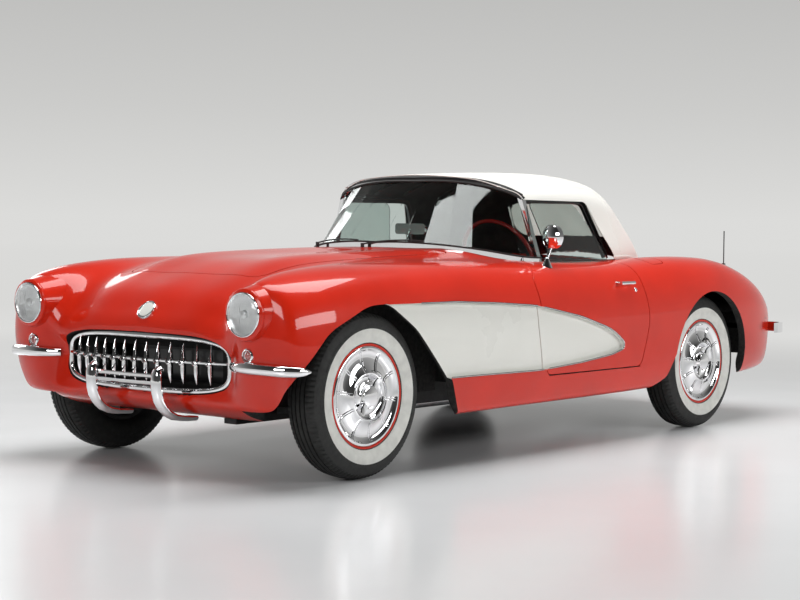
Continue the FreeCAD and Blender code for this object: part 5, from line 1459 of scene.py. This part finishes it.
TOP_RINGS = (
    (-1238, (0, 1262), (220, 1253), (390, 1228), (500, 1188), (560, 1150), (600, 1000), (640, 835)),
    (-1400, (0, 1273), (220, 1264), (390, 1238), (510, 1195), (566, 1150), (606, 1000), (650, 835)),
    (-1650, (0, 1283), (220, 1273), (390, 1245), (515, 1200), (570, 1150), (612, 1000), (660, 835)),
    (-1900, (0, 1289), (220, 1277), (390, 1246), (512, 1198), (568, 1145), (618, 1000), (666, 835)),
    (-2140, (0, 1284), (210, 1270), (370, 1236), (480, 1180), (540, 1110), (590, 990), (632, 835)),
    (-2270, (0, 1262), (200, 1248), (340, 1215), (440, 1150), (500, 1070), (552, 970), (585, 835)),
    (-2390, (0, 1218), (180, 1204), (310, 1168), (400, 1106), (460, 1030), (515, 950), (540, 825)),
    (-2480, (0, 1156), (165, 1142), (290, 1106), (370, 1046), (430, 980), (480, 915), (500, 820)),
    (-2560, (0, 1060), (150, 1048), (260, 1016), (335, 970), (395, 925), (440, 885), (460, 810)),
    (-2620, (0, 960), (140, 950), (235, 925), (300, 900), (350, 880), (385, 862), (400, 800)),
    (-2660, (0, 886), (120, 880), (200, 872), (250, 862), (290, 850), (315, 838), (330, 795)),
)
TOP_FLOOR = 780.0
CLOTH_THICK = 3.0
# The cloth's cut before it was stretched over the bows, in metres, and its area
# Plan line of the top's front edge along the windshield's header: design x and y
HEADER_PLAN = ((-1378, 562), (-1330, 482), (-1280, 300), (-1264, 0))
SIDE_WINDOW = ((-1190, 830, 0), (-1345, 1146, 30), (-1885, 1142, 45), (-2046, 830, 0))
REAR_WINDOW = ((330, 965, 60), (-330, 965, 60), (-300, 1140, 70), (300, 1140, 70))


def top_grid(inset: float = 0.0) -> np.ndarray:
    """Grid of the raised top's form, set in by an amount."""
    rings = []
    for x, *half in TOP_RINGS:
        points = np.array([(x + FRONT_AXLE / MM, y, z) for y, z in half], dtype=float)
        moved = points.copy()
        for index in range(len(points)):
            before = points[index - 1] if index else points[1] * (1, -1, 1)
            after = points[min(index + 1, len(points) - 1)]
            run = after - before
            length = math.hypot(run[1], run[2])
            moved[index] += np.array((0.0, run[2], -run[1])) * inset / length
        moved[0, 1] = 0.0
        hem = moved[-1]
        floor = TOP_FLOOR - inset
        ring = np.vstack([moved, (hem[0], hem[1] * 0.6, floor), (hem[0], 0.0, floor)])
        rings.append(np.vstack([ring[:0:-1] * (1, -1, 1), ring[:-1]]))
    return skin_grid(np.array(rings))


class SoftTop:
    """The raised top: cloth, its seams and hem, the black frame under it and the bows."""

    def __init__(self, body: Surface) -> None:
        """Lay the skins.

        Args:
            body: the body's outer skin.
        """
        self.body = body
        self.outer = Surface(top_grid())
        self.inner = Surface(top_grid(CLOTH_THICK))

    def build(self) -> None:
        """Make every piece of the top."""
        trims = [self._seams(), self._rear_welt()]
        cloth = self._cloth()
        self._rails()
        self._bows()
        log.info("top cloth: %.3f m2 on each side", sum(f.area for f in cloth.data.polygons) / 2)

    def _cloth(self) -> Thing:
        """One continuous sheet from the header to the hem, with its openings."""
        shell = solid_of("soft_top_cloth", top_grid())
        within = solid_of("top_within", top_grid(CLOTH_THICK))
        for vertex in within.data.vertices:
            if vertex.co.x > at(-1242, 0, 0).x:
                vertex.co.x += 0.05
        window = split_runs(rounded(SIDE_WINDOW))
        rear = rounded(REAR_WINDOW)
        rear_hole = prism("rear_hole", [at(-2720, y, z) for y, z in rear],
                          [at(-2350, y, z) for y, z in rear])
        header = [(p.x, p.y) for p in smooth_line([(x + 7, y, 0) for x, y in HEADER_PLAN])]
        header += [(x, -y) for x, y in header[-2::-1]]
        loop = header + [(header[-1][0], -1.0), (3.0, -1.0), (3.0, 1.0), (header[0][0], 1.0)]
        subtract(shell, within, side_prism("window_left", window, 380, 1000),
                 side_prism("window_right", window, -1000, -380), rear_hole,
                 block("low_front", (-1400, -1000, 0), (1500, 1000, 1140)),
                 prism("front_cut", [(x, y, 0.0) for x, y in loop], [(x, y, 2.0) for x, y in loop]),
                 solid_of("body_form", body_grid(BODY_RINGS) + np.array((0, 0, 0.0005))))
        bm = bmesh.new()
        bm.from_mesh(shell.data)
        bmesh.ops.remove_doubles(bm, verts=bm.verts, dist=2e-6)
        bmesh.ops.dissolve_degenerate(bm, dist=2e-6, edges=bm.edges)
        bm.to_mesh(shell.data)
        bm.free()
        mesh = shell.data
        dress(mesh, (Look.CLOTH, Look.LINING))
        normals = [tuple(n.vector) for n in mesh.corner_normals]
        for face in mesh.polygons:
            facing = self.outer.nearest(face.center)[1].dot(face.normal)
            face.use_smooth = True
            face.material_index = int(facing < -0.6)
            for corner, index in zip(face.loop_indices, face.vertices):
                way = face.normal
                if facing >= 0.6:
                    way = self.outer.nearest(mesh.vertices[index].co)[1]
                elif facing <= -0.6:
                    way = -self.inner.nearest(mesh.vertices[index].co)[1]
                normals[corner] = tuple(way)
        mesh.normals_split_custom_set(normals)
        settle(shell, BODY_OF["soft_top"], SLOT_OF["soft_top"], "soft_top")
        return shell

    def _seams(self) -> Thing:
        """Raised seams of the roof and the quarters, and the binding along the hem."""
        parts = []
        lines = [smooth_line([(x, 470, 1210) for x in range(-1300, -2120, -60)], 3)]
        lines.append(smooth_line([(-2085, 0, 1287), (-2088, 200, 1274), (-2092, 360, 1238),
                                  (-2098, 470, 1188), (-2104, 530, 1120), (-2108, 575, 1020),
                                  (-2110, 604, 930), (-2110, 622, 870)], 6))
        hem = [(-2010, 640), (-2080, 630), (-2180, 605), (-2290, 568), (-2400, 530), (-2500, 470),
               (-2580, 390), (-2640, 270), (-2660, 120), (-2662, 0)]
        lines.append(smooth_line([(x, y, self.body.top(x, y)[0].z / MM + 8.0) for x, y in hem], 6))
        for line, (width, height) in zip(lines, ((9.0, 1.6), (12.0, 2.0), (15.0, 2.6))):
            for run in (line, mirrored(line)):
                parts.append(strip_on(self.outer, run, half_round(width, height)))
        piece = join("top_seams", parts, [Look.CLOTH])
        return settle(piece, BODY_OF["soft_top"], SLOT_OF["soft_top"])

    def _rear_welt(self) -> Thing:
        """Binding sewn round the rear window."""
        loop = split_runs(grown(rounded(REAR_WINDOW), 6.0), 30.0)
        spots, normals = [], []
        for y, z in loop:
            spot, normal = self.outer.hit(at(-3200, y, z), Vector((1, 0, 0)))
            spots.append(spot)
            normals.append(normal)
        welt = sweep(spots, half_round(22.0, 2.2), normals, closed=True)
        piece = join("rear_window_binding", [welt], [Look.CLOTH])
        return settle(piece, BODY_OF["soft_top"], SLOT_OF["soft_top"])

    @staticmethod
    def _rails() -> None:
        """Black side rails with their weatherstrips, and the header bow."""
        parts = []
        outline = rounded_box(12, 9, 3)
        side = smooth_line([(-1392, 545, 1141), (-1500, 548, 1143), (-1680, 549, 1143),
                            (-1840, 547, 1141), (-1884, 548, 1128), (-1916, 556, 1080),
                            (-1958, 574, 995), (-2000, 592, 905), (-2016, 598, 872)], 8)
        strip = smooth_line([(-1894, 561, 1136), (-1930, 572, 1070), (-1972, 590, 985),
                             (-2012, 606, 900), (-2026, 612, 868)], 8)
        header = [(x - 10, y, z) for (x, y), z in zip(HEADER_PLAN, (1152, 1200, 1236, 1245))]
        half = smooth_line(header, 8)
        bow = half + mirrored(half[-2::-1])
        for sign, rail, seal in ((1, side, strip), (-1, mirrored(side), mirrored(strip))):
            parts.append((*sweep(rail, outline, [Vector((0, sign, 0.25))] * len(rail)), 0))
            parts.append((*sweep(seal, round_outline(5.0, 10), [Vector((0, sign, 0.2))] * len(seal)), 1))
        flatter = [(u * 0.9, v * 0.7) for u, v in outline]
        parts.append(sweep(bow, flatter, [Vector((0, 0, 1))] * len(bow)))
        piece = join("top_rails", parts, [Look.BLACK, Look.SEAL])
        settle(piece, BODY_OF["soft_top"], SLOT_OF["soft_top"])

    def _bows(self) -> None:
        """Cross bows under the cloth."""
        parts = []
        outline = rounded_box(14, 6, 4)
        for x in (-1600, -1850, -2120):
            spots, normals = [], []
            for step in range(-20, 21):
                y = 540.0 * math.sin(math.radians(step * 4.5))
                spot, normal = self.inner.hit(at(x, y * 0.999, 1500), Vector((0, 0, -1)))
                spots.append(spot - normal * (8.5 * MM))
                normals.append(normal)
            parts.append(sweep(spots, outline, normals))
        piece = join("top_bows", parts, [Look.LINING])
        settle(piece, BODY_OF["soft_top"], SLOT_OF["soft_top"])



# Cabin

STEER_CENTRE = (-1492.0, 345.0, 862.0)
STEER_TILT = math.radians(24.0)
SEAT_Y = 340.0
PRESSURE_FRAMES = 14
# Channels of the seats, in millimetres
PLEAT_PITCH = 46.0
PLEAT_DEPTH = 5.0
# Farthest that the pressure may push the cover, in millimetres
PUFF_LIMIT = 14.0


def rounded_block(name: str, half: Sequence[float], radius: float, cuts: int, place: Matrix,
                  look: Look) -> Thing:
    """Closed block with rounded edges and an even mesh.

    Args:
        name: the object's name.
        half: half sizes in millimetres.
        radius: edge radius in millimetres.
        cuts: divisions of the longest edge.
        place: position of its centre in the frame.
        look: its finish.

    Returns:
        The new object.
    """
    bm = bmesh.new()
    bmesh.ops.create_cube(bm, size=2.0)
    longest = max(half)
    for axis in range(3):
        count = max(4, round(cuts * half[axis] / longest))
        edges = [e for e in bm.edges if abs((e.verts[0].co - e.verts[1].co)[axis]) > 1e-6]
        bmesh.ops.subdivide_edges(bm, edges=edges, cuts=count, use_grid_fill=True)
    for vertex in bm.verts:
        spot = Vector([vertex.co[i] * half[i] for i in range(3)])
        inner = Vector([max(-half[i] + radius, min(half[i] - radius, spot[i])) for i in range(3)])
        out = spot - inner
        if out.length > 1e-9:
            spot = inner + out.normalized() * radius
        vertex.co = place @ (spot * MM)
    return from_bmesh(name, bm, [look], 80)


def inflate(piece: Thing, pressure: float) -> Thing:
    step = piece.modifiers.new("cover", "CLOTH")
    for label, value in (("quality", 6), ("mass", 0.3), ("tension_stiffness", 60.0),
                         ("compression_stiffness", 60.0), ("shear_stiffness", 20.0),
                         ("bending_stiffness", 1.0), ("use_pressure", True),
                         ("uniform_pressure_force", pressure)):
        setattr(step.settings, label, value)
    step.settings.effector_weights.gravity = 0.0
    step.collision_settings.use_collision = False
    step.collision_settings.use_self_collision = False
    step.point_cache.frame_start = 1
    step.point_cache.frame_end = PRESSURE_FRAMES
    scene = bpy.context.scene
    before = [v.co.copy() for v in piece.data.vertices]
    for number in range(1, PRESSURE_FRAMES + 1):
        scene.frame_set(number)
    apply_modifiers(piece)
    scene.frame_set(1)
    limit = PUFF_LIMIT * MM
    for vertex, start in zip(piece.data.vertices, before):
        move = vertex.co - start
        if move.length > limit:
            vertex.co = start + move * (limit / move.length)
    smooth = piece.modifiers.new("fine", "SUBSURF")
    smooth.levels = 1
    smooth.render_levels = 1
    apply_modifiers(piece)
    for face in piece.data.polygons:
        face.use_smooth = True
    return piece


def pleated(piece: Thing, place: Matrix, half: Sequence[float]) -> None:
    """Press channels along the top face of a cushion."""
    back = place.inverted()
    for vertex in piece.data.vertices:
        local = back @ vertex.co / MM
        if local.z < 0:
            continue
        u, v = local.x / half[0], local.y / half[1]
        fade = clamped((0.74 - abs(u)) / 0.06) * clamped((0.78 - abs(v)) / 0.04)
        fade *= clamped(local.z / half[2] * 2 - 0.6)
        groove = 1.0 - abs(math.sin(math.pi * local.y / PLEAT_PITCH)) ** 0.5
        vertex.co -= (place.to_3x3() @ Vector((0, 0, 1))) * (PLEAT_DEPTH * groove * fade * MM)


def clamped(value: float) -> float:
    """A value held between 0 and 1."""
    return max(0.0, min(1.0, value))


def tree_of(node: str) -> BVHTree:
    """Search tree of a CAD node's faces."""
    mesh = frame["nodes"][node].data
    return BVHTree.FromPolygons([v.co.copy() for v in mesh.vertices],
                                [tuple(f.vertices) for f in mesh.polygons])


class Cabin:
    """Seats, dash, steering wheel, carpets and controls."""

    def __init__(self) -> None:
        """Read the floor that the cabin stands on."""
        self.floor = tree_of("underbody")

    def build(self) -> None:
        """Make every piece of the cabin."""
        self._seats()
        self._steering_wheel()
        self._dash()
        self._floor()
        self._controls()
        for sign, side in ((1, "left"), (-1, "right")):
            self._door_inside(sign, side)

    def floor_z(self, x: float, y: float) -> float:
        """Height in millimetres of the cabin floor under a design point."""
        spot, _, _, _ = self.floor.ray_cast(at(x, y, 640.0), Vector((0, 0, -1)))
        return spot.z / MM

    def _seats(self) -> None:
        """Bucket seats: a pleated cushion and back, each with its shell."""
        cushion = Matrix.Translation(at(-1742, SEAT_Y, 462)) @ Matrix.Rotation(math.radians(-6), 4, "Y")
        lean = Matrix.Rotation(math.radians(-90 - 13), 4, "Y") @ Matrix.Rotation(math.pi, 4, "Z")
        back = Matrix.Translation(at(-2008, SEAT_Y, 672)) @ lean
        for label, place, half, pressure in (("cushion", cushion, (205.0, 232.0, 62.0), 3.5),
                                             ("back", back, (190.0, 226.0, 52.0), 3.0)):
            piece = rounded_block(f"seat_{label}_left", half, 44.0, 34, place, Look.VINYL)
            if label == "back":
                self._taper(piece, place, half)
            inflate(piece, pressure)
            pleated(piece, place, half)
            other = mirror_copy(piece, f"seat_{label}_right")
            for thing, side in ((piece, "left"), (other, "right")):
                settle(thing, BODY_OF["seat_" + side], SLOT_OF["seat_" + side], "seat_" + side)
        for sign, side in ((1, "left"), (-1, "right")):
            parts = []
            low = self.floor_z(-1740, SEAT_Y * sign)
            loop = rounded(((-1930, -212, 26), (-1556, -194, 26), (-1556, 194, 26), (-1930, 212, 26)))
            grid = np.array([[tuple(at(x, SEAT_Y * sign + y * wide, z)) for x, y in loop]
                             for z, wide in ((low + 16, 0.88), (low + 24, 0.92), (410, 1.0), (418, 0.99))])
            parts.append(closed_grid(grid))
            rail = [tuple(p) for p in rounded([(-9, 0, 2), (9, 0, 2), (9, 16, 2), (-9, 16, 2)])]
            for y in (-150, 150):
                line = [at(x, SEAT_Y * sign + y, low + 1) for x in (-1960, -1740, -1540)]
                parts.append((*sweep(line, rail, [Vector((0, 0, 1))] * 3), 1))
            piece = join("seat_base_" + side, parts, [Look.VINYL, Look.SATIN_STEEL])
            settle(piece, BODY_OF["seat_" + side], SLOT_OF["seat_" + side])

    @staticmethod
    def _taper(piece: Thing, place: Matrix, half: Sequence[float]) -> None:
        """Narrow and round a seat back towards its top."""
        inverse = place.inverted()
        for vertex in piece.data.vertices:
            local = inverse @ vertex.co
            # The back's own x runs down
            rise = max(0.0, -local.x / (half[0] * MM))
            local.y *= 1.0 - 0.16 * rise * rise
            local.z *= 1.0 - 0.20 * rise
            vertex.co = place @ local

    @staticmethod
    def _steering_wheel() -> None:
        """Rim with finger grips, three spokes of three rods each and a horn button."""
        axis = Vector((math.cos(STEER_TILT), 0, -math.sin(STEER_TILT)))
        centre = at(*STEER_CENTRE)
        side = Vector((0, 1, 0))
        up = side.cross(axis).normalized()
        line, sizes = [], []
        count = 144
        for step in range(count):
            angle = 2 * math.pi * step / count
            way = side * math.cos(angle) + up * math.sin(angle)
            line.append(centre + way * 0.200)
            sizes.append(1.0 - 0.06 * (0.5 + 0.5 * math.cos(36 * angle)))
        parts = [sweep(line, round_outline(10.4, 12), [axis] * count, closed=True, scale=sizes)]
        toward = up if up.z < 0 else -up
        for way in (side, -side, toward):
            across = axis.cross(way).normalized()
            for offset in (-9.0, 0.0, 9.0):
                start = centre + axis * 0.012 + way * 0.030 + across * (offset * 0.7 * MM)
                end = centre + axis * 0.002 + way * 0.198 + across * (offset * MM)
                rod = [start, start.lerp(end, 0.5), end]
                parts.append((*sweep(rod, round_outline(2.6, 8), [axis] * 3), 1))
        hub = [(0, -16), (20, -15), (30, -9), (34, -2), (40, 0), (44, 6), (40, 30), (28, 52), (0, 52)]
        ring = [(34, -3.5), (38, -6), (42, -3), (42, 2), (34, 2), (34, -3.5)]
        shaft = [(0, 40), (10, 40), (10, 410), (0, 410)]
        parts.append(revolve(hub, centre, axis, 64))
        parts.append((*revolve(ring, centre, axis, 64), 1))
        parts.append((*revolve(shaft, centre, axis, 24), 1))
        piece = join("steering_wheel_finished", parts, [Look.RIM, Look.CHROME])
        settle(piece, BODY_OF["steering_wheel"], SLOT_OF["steering_wheel"], "steering_wheel")

    @staticmethod
    def _dash() -> None:
        """Round instruments along the dash, with their marks and needles."""
        tree = tree_of("dashboard")
        parts = []
        way = Vector((-1, 0, 0.12)).normalized()
        side = way.cross(Vector((0, 0, 1))).normalized()
        top = side.cross(way).normalized()
        gauges = ((345, 818, 62), (170, 812, 30), (95, 812, 30), (20, 812, 36), (-55, 812, 30),
                  (-130, 812, 30))
        for y, z, radius in gauges:
            spot = tree.ray_cast(at(-1500, y, z), Vector((1, 0, 0)))[0]
            if spot is None:
                continue
            bezel = [(radius - 5, 2), (radius - 4, 9), (radius - 1, 11), (radius + 2, 8), (radius + 3, -8),
                     (radius - 5, -8), (radius - 5, 2)]
            face = [(0, -8), (radius - 4.6, -8), (radius - 4.6, 4), (0, 4)]
            parts.append(revolve(bezel, spot, way, 64))
            parts.append((*revolve(face, spot, way, 64), 1))
            for tick in range(11):
                angle = math.radians(-120 + 24 * tick)
                ray = side * math.sin(angle) + top * math.cos(angle)
                mark = [spot + way * (4.2 * MM) + ray * ((radius - back) * MM) for back in (15, 8)]
                parts.append((*sweep(mark, round_outline(0.8, 6), [way] * 2), 2))
            hand = spot + way * (5.5 * MM)
            reach = radius - 16
            needle = [hand - top * 0.004, hand + side * (reach * -0.5 * MM) + top * (reach * 0.8 * MM)]
            parts.append((*sweep(needle, round_outline(1.1, 6), [way] * 2), 2))
        piece = join("dash_instruments", parts, [Look.CHROME, Look.FACE, Look.MARK])
        settle(piece, BODY_OF["dashboard"], SLOT_OF["dashboard"])

    @staticmethod
    def _floor() -> None:
        """Underbody copied with carpet on the faces that look into the cabin."""
        mesh = frame["nodes"]["underbody"].data.copy()
        dress(mesh, (Look.UNDERCOAT, Look.CARPET))
        inside = at(-1600, 0, 700)
        for face in mesh.polygons:
            x = (face.center.x - FRONT_AXLE) / MM
            room = -2190 < x < -1100 and abs(face.center.y) < 0.70 and face.center.z < 0.80
            face.material_index = int(room and (inside - face.center).dot(face.normal) > 0)
        piece = linked("underbody_finished", mesh)
        settle(piece, BODY_OF["underbody"], SLOT_OF["underbody"], "underbody")

    def _controls(self) -> None:
        """Gear lever with its boot and knob."""
        x, y = -1470.0, 0.0
        base = self.floor_z(x, y)
        boot = [(0, -2), (44, -2), (46, 3), (38, 10), (24, 26), (12, 46), (8, 52), (0, 52)]
        parts = [(*revolve(boot, at(x, y, base), Vector((0, 0, 1)), 48), 1)]
        line = smooth_line([(x, y, base + 40), (x - 6, y, base + 130), (x - 22, y, base + 215)], 6)
        parts.append(sweep(line, round_outline(5.0, 12), [Vector((0, 1, 0))] * len(line)))
        knob = [(0, -14)] + [(21 * math.sin(math.radians(a)), -21 * math.cos(math.radians(a)))
                             for a in range(20, 180, 16)] + [(0, 21)]
        head = line[-1] + Vector((-0.002, 0, 0.014))
        parts.append((*revolve(knob, head, Vector((-0.1, 0, 1)), 32), 2))
        piece = join("gear_lever", parts, [Look.CHROME, Look.RUBBER, Look.COVE], 50)
        settle(piece, BODY_OF["underbody"], "chrome_trim")

    @staticmethod
    def _door_inside(sign: int, side: str) -> None:
        """Window crank and latch handle on the door's inner face."""
        tree = tree_of("door_" + side)
        parts = []
        way = Vector((0, -sign, 0))
        boss = [(0, -2), (20, -2), (20, 3), (14, 8), (9, 12), (9, 22), (0, 22)]
        knob = [(0, 0), (8, 0), (9, 6), (9, 20), (6, 24), (0, 24)]
        arm = [(u, v * 0.6) for u, v in round_outline(6.5)]
        for x, z, reach in ((-1420, 640, 62), (-1640, 700, 74)):
            spot = tree.ray_cast(at(x, 300 * sign, z), Vector((0, sign, 0)))[0]
            if spot is None:
                continue
            start = spot + way * 0.018
            end = start + Vector((-reach * MM, 0, -0.012))
            parts.append(revolve(boss, spot, way, 40))
            parts.append(sweep([start, start.lerp(end, 0.5), end], arm, [way] * 3))
            parts.append((*revolve(knob, end, way, 24), 1))
        piece = join("door_controls_" + side, parts, [Look.CHROME, Look.RIM])
        settle(piece, "door_" + side, "chrome_trim")


# Tail

LAMP_RADIUS = 42.5


def build_tail() -> None:
    """Bezels and domed, ribbed lenses of the tail lamps."""
    way = Vector((-1, 0, 0))
    ring = [(42.0, -4), (48.2, -14), (51.5, -14), (51.5, -3), (48.5, 3.5), (44.5, 4.5), (42.0, 2),
            (42.0, -4)]
    dome = [(0, -3), (LAMP_RADIUS, -3), (LAMP_RADIUS, 2)]
    for step in range(1, 15):
        radius = LAMP_RADIUS * (1 - step / 14)
        height = 2 + 9.5 * math.sqrt(max(0.0, 1 - (radius / LAMP_RADIUS) ** 2))
        rib = 0.9 * (1 if step % 2 else -1) if step < 12 else 0.0
        dome.append((radius, height + rib))
    centres = [at(-3540, 640 * sign, 560) for sign in (1, -1)]
    bezels = [revolve(ring, centre, way, 72) for centre in centres]
    domes = [revolve(dome, centre, way, 72) for centre in centres]
    settle(join("tail_lamp_bezels", bezels, [Look.CHROME]), "body", "chrome_trim")
    settle(join("tail_lamp_domes", domes, [Look.RED_LENS]), "body", SLOT_OF["tail_lamps"])


# Studio

@dataclass(frozen=True)
class CameraFit:
    """Camera solved from the photograph.

    Attributes:
        place: position in the frame, in metres.
        azimuth: look direction in degrees, counter-clockwise from +X.
        elevation: look direction in degrees above level.
        roll: turn about the look direction in degrees.
        lens: focal length in millimetres on a 36 mm sensor.
        shift_x: sideways shift of the frame.
        shift_y: upward shift of the frame.
    """

    place: tuple[float, float, float] = (7.0081, 5.5116, 1.0574)
    azimuth: float = 219.793
    elevation: float = -2.573
    roll: float = 0.4996
    lens: float = 81.54
    shift_x: float = 0.01225
    shift_y: float = -0.0013


def add_camera(fit: CameraFit) -> None:
    """Create the scene's camera."""
    data = bpy.data.cameras.new("view")
    data.lens = fit.lens
    data.sensor_width = 36.0
    data.shift_x = fit.shift_x
    data.shift_y = fit.shift_y
    data.clip_end = 200.0
    azimuth, elevation, roll = (math.radians(v) for v in (fit.azimuth, fit.elevation, fit.roll))
    look = Vector((math.cos(elevation) * math.cos(azimuth), math.cos(elevation) * math.sin(azimuth),
                   math.sin(elevation)))
    right = look.cross(Vector((0, 0, 1))).normalized()
    up = right.cross(look)
    c, s = math.cos(roll), math.sin(roll)
    right, up = right * c + up * s, up * c - right * s
    camera = linked("view", data)
    camera.matrix_world = Matrix((
        (right.x, up.x, -look.x, fit.place[0]), (right.y, up.y, -look.y, fit.place[1]),
        (right.z, up.z, -look.z, fit.place[2]), (0, 0, 0, 1)))
    bpy.context.scene.camera = camera


@dataclass(frozen=True)
class Softbox:
    """One area light.

    Attributes:
        name: the light's name.
        place: position in metres.
        aim: point that it faces.
        size: width and height in metres.
        power: watts.
    """

    name: str
    place: tuple[float, float, float]
    aim: tuple[float, float, float]
    size: tuple[float, float]
    power: float


SOFTBOXES = (
    Softbox("overhead", (0.2, 0.4, 5.4), (0.0, 0.0, 0.4), (6.5, 2.6), 360.0),
    Softbox("front_side", (7.6, 1.4, 3.2), (1.2, 0.0, 0.6), (2.6, 1.8), 120.0),
    Softbox("left_side", (-1.2, 7.4, 3.0), (0.0, 0.0, 0.5), (6.0, 1.5), 210.0),
    Softbox("right_side", (0.0, -6.5, 3.0), (0.0, 0.0, 0.6), (5.0, 2.0), 110.0),
)
# Backdrop brightness by the sine of the height above the horizon, then towards the lit side
SKY_STOPS = ((0.0, 0.71), (0.06, 0.60), (0.12, 0.52), (0.40, 0.34), (0.75, 0.16), (1.0, 0.12))
LIT_SIDE = (-0.769, -0.639, 0.0)
# Brightness of the glow that stands in for the far floor, by distance in metres; the dip near 13 m is a
# band of painted shade
FLOOR_STOPS = ((0.0, 0.74), (5.0, 0.74), (13.0, 0.69), (45.0, 0.70), (60.0, 0.71))
FLOOR_REACH = 90.0
# Distances between which the floor turns from the lit surface into the backdrop
FADE_FROM, FADE_TO = 2.2, 9.0


def add_ramp(tree: bpy.types.NodeTree, place: bpy.types.NodeSocket, stops: Pairs,
             reach: float = 1.0) -> bpy.types.NodeSocket:
    """Grey ramp through (place, brightness) stops, places up to a reach."""
    ramp = add_node(tree, "ValToRGB", {"Fac": place})
    elements = ramp.color_ramp.elements
    for index, (stop, level) in enumerate(stops):
        if index < 2:
            element = elements[index]
            element.position = stop / reach
        else:
            element = elements.new(stop / reach)
        element.color = (level * 1.005, level * 1.003, level * 0.985, 1.0)
    return ramp.outputs["Color"]


def light_world() -> None:
    """Backdrop: bright near the horizon behind the car, dark overhead and behind the viewer."""
    world = bpy.data.worlds.new("studio")
    bpy.context.scene.world = world
    world.use_nodes = True
    tree = world.node_tree
    way = add_node(tree, "TexCoord").outputs["Generated"]
    height = add_node(tree, "SeparateXYZ", {0: way}).outputs["Z"]
    along = add_node(tree, "VectorMath", {0: way}, {1: LIT_SIDE}, operation="DOT_PRODUCT")
    share = add_node(tree, "MapRange", {"Value": along.outputs["Value"]},
                     {"From Min": -0.6, "From Max": 0.9, "To Min": 0.10, "To Max": 1.0},
                     interpolation_type="SMOOTHSTEP")
    background = tree.nodes["Background"]
    tree.links.new(add_ramp(tree, height, SKY_STOPS), background.inputs["Color"])
    tree.links.new(share.outputs["Result"], background.inputs["Strength"])


def add_floor() -> None:
    """Plain floor that fades into a backdrop glow far from the car, with a faint band of painted shade
    about 13 m out.
    """
    bm = bmesh.new()
    bmesh.ops.create_circle(bm, cap_ends=True, segments=96, radius=FLOOR_REACH)
    floor = from_bmesh("studio_floor", bm, [Look.FLOOR], keep_normals=True)
    floor.data.transform(Matrix.Translation((0, 0, -0.0005)))
    tree = material(Look.FLOOR).node_tree
    by_type = {n.type: n for n in tree.nodes}
    away = add_node(tree, "VectorMath", {0: by_type["TEX_COORD"].outputs["Object"]},
                    operation="LENGTH").outputs["Value"]
    place = add_node(tree, "Math", {0: away}, {1: FLOOR_REACH}, operation="DIVIDE").outputs[0]
    # Glow of the far floor, with a slight dip of painted shade near 13 m
    glow = add_node(tree, "Emission", {"Color": add_ramp(tree, place, FLOOR_STOPS, FLOOR_REACH)})
    fade = add_node(tree, "MapRange", {"Value": away}, {"From Min": FADE_FROM, "From Max": FADE_TO},
                    interpolation_type="SMOOTHSTEP")
    mix = add_node(tree, "MixShader", {0: fade.outputs["Result"], 1: by_type["BSDF_PRINCIPLED"].outputs[0],
                                       2: glow.outputs[0]})
    tree.links.new(mix.outputs[0], by_type["OUTPUT_MATERIAL"].inputs[0])


def add_studio() -> None:
    """Floor, world and lights."""
    bpy.context.scene.view_settings.view_transform = "Standard"
    light_world()
    for box in SOFTBOXES:
        data = bpy.data.lights.new(box.name, "AREA")
        data.shape = "RECTANGLE"
        data.size, data.size_y = box.size
        data.energy = box.power
        turn = (Vector(box.aim) - Vector(box.place)).to_track_quat("-Z", "Y").to_matrix().to_4x4()
        linked(box.name, data).matrix_world = Matrix.Translation(Vector(box.place)) @ turn
    add_floor()


# Looks of the CAD nodes that stay; the others are painted
NODES_BY_LOOK = {
    Look.CHROME: ("windshield_frame", "door_handle_left", "door_handle_right", "grille_surround",
                  "rear_bumper", "door_mirror", "inner_mirror"),
    Look.BLACK: ("aerial", "wipers", "radiator"),
    Look.PANE: ("windshield_glass", "door_glass_left", "door_glass_right"),
    Look.VINYL_PANE: ("rear_window",),
    Look.RED_LENS: ("tail_lamps",),
    Look.CHASSIS: ("chassis_frame", "wishbones", "rear_axle", "leaf_springs", "knuckle_left",
                   "knuckle_right", "wheel_front_left", "wheel_front_right", "wheel_rear_left",
                   "wheel_rear_right"),
    Look.SATIN_STEEL: ("exhaust",),
    Look.IRON: ("engine",),
    Look.DASH: ("dashboard", "steering_column"),
}


def finish_nodes() -> None:
    """Give every CAD node its material."""
    looks = {name: look for look, names in NODES_BY_LOOK.items() for name in names}
    for name, thing in frame["nodes"].items():
        dress(thing.data, (looks.get(name, Look.PAINT),))


def main() -> None:
    """Build the scene."""
    logging.basicConfig(level=logging.INFO, format="%(message)s")
    finish_nodes()
    shell = BodyShell()
    shell.build()
    Wheels().build()
    Nose(shell.outer).build()
    SideTrim(shell.outer).build()
    SoftTop(shell.outer).build()
    Cabin().build()
    build_tail()
    add_camera(CameraFit())
    add_studio()


if __name__ == "__main__":
    main()
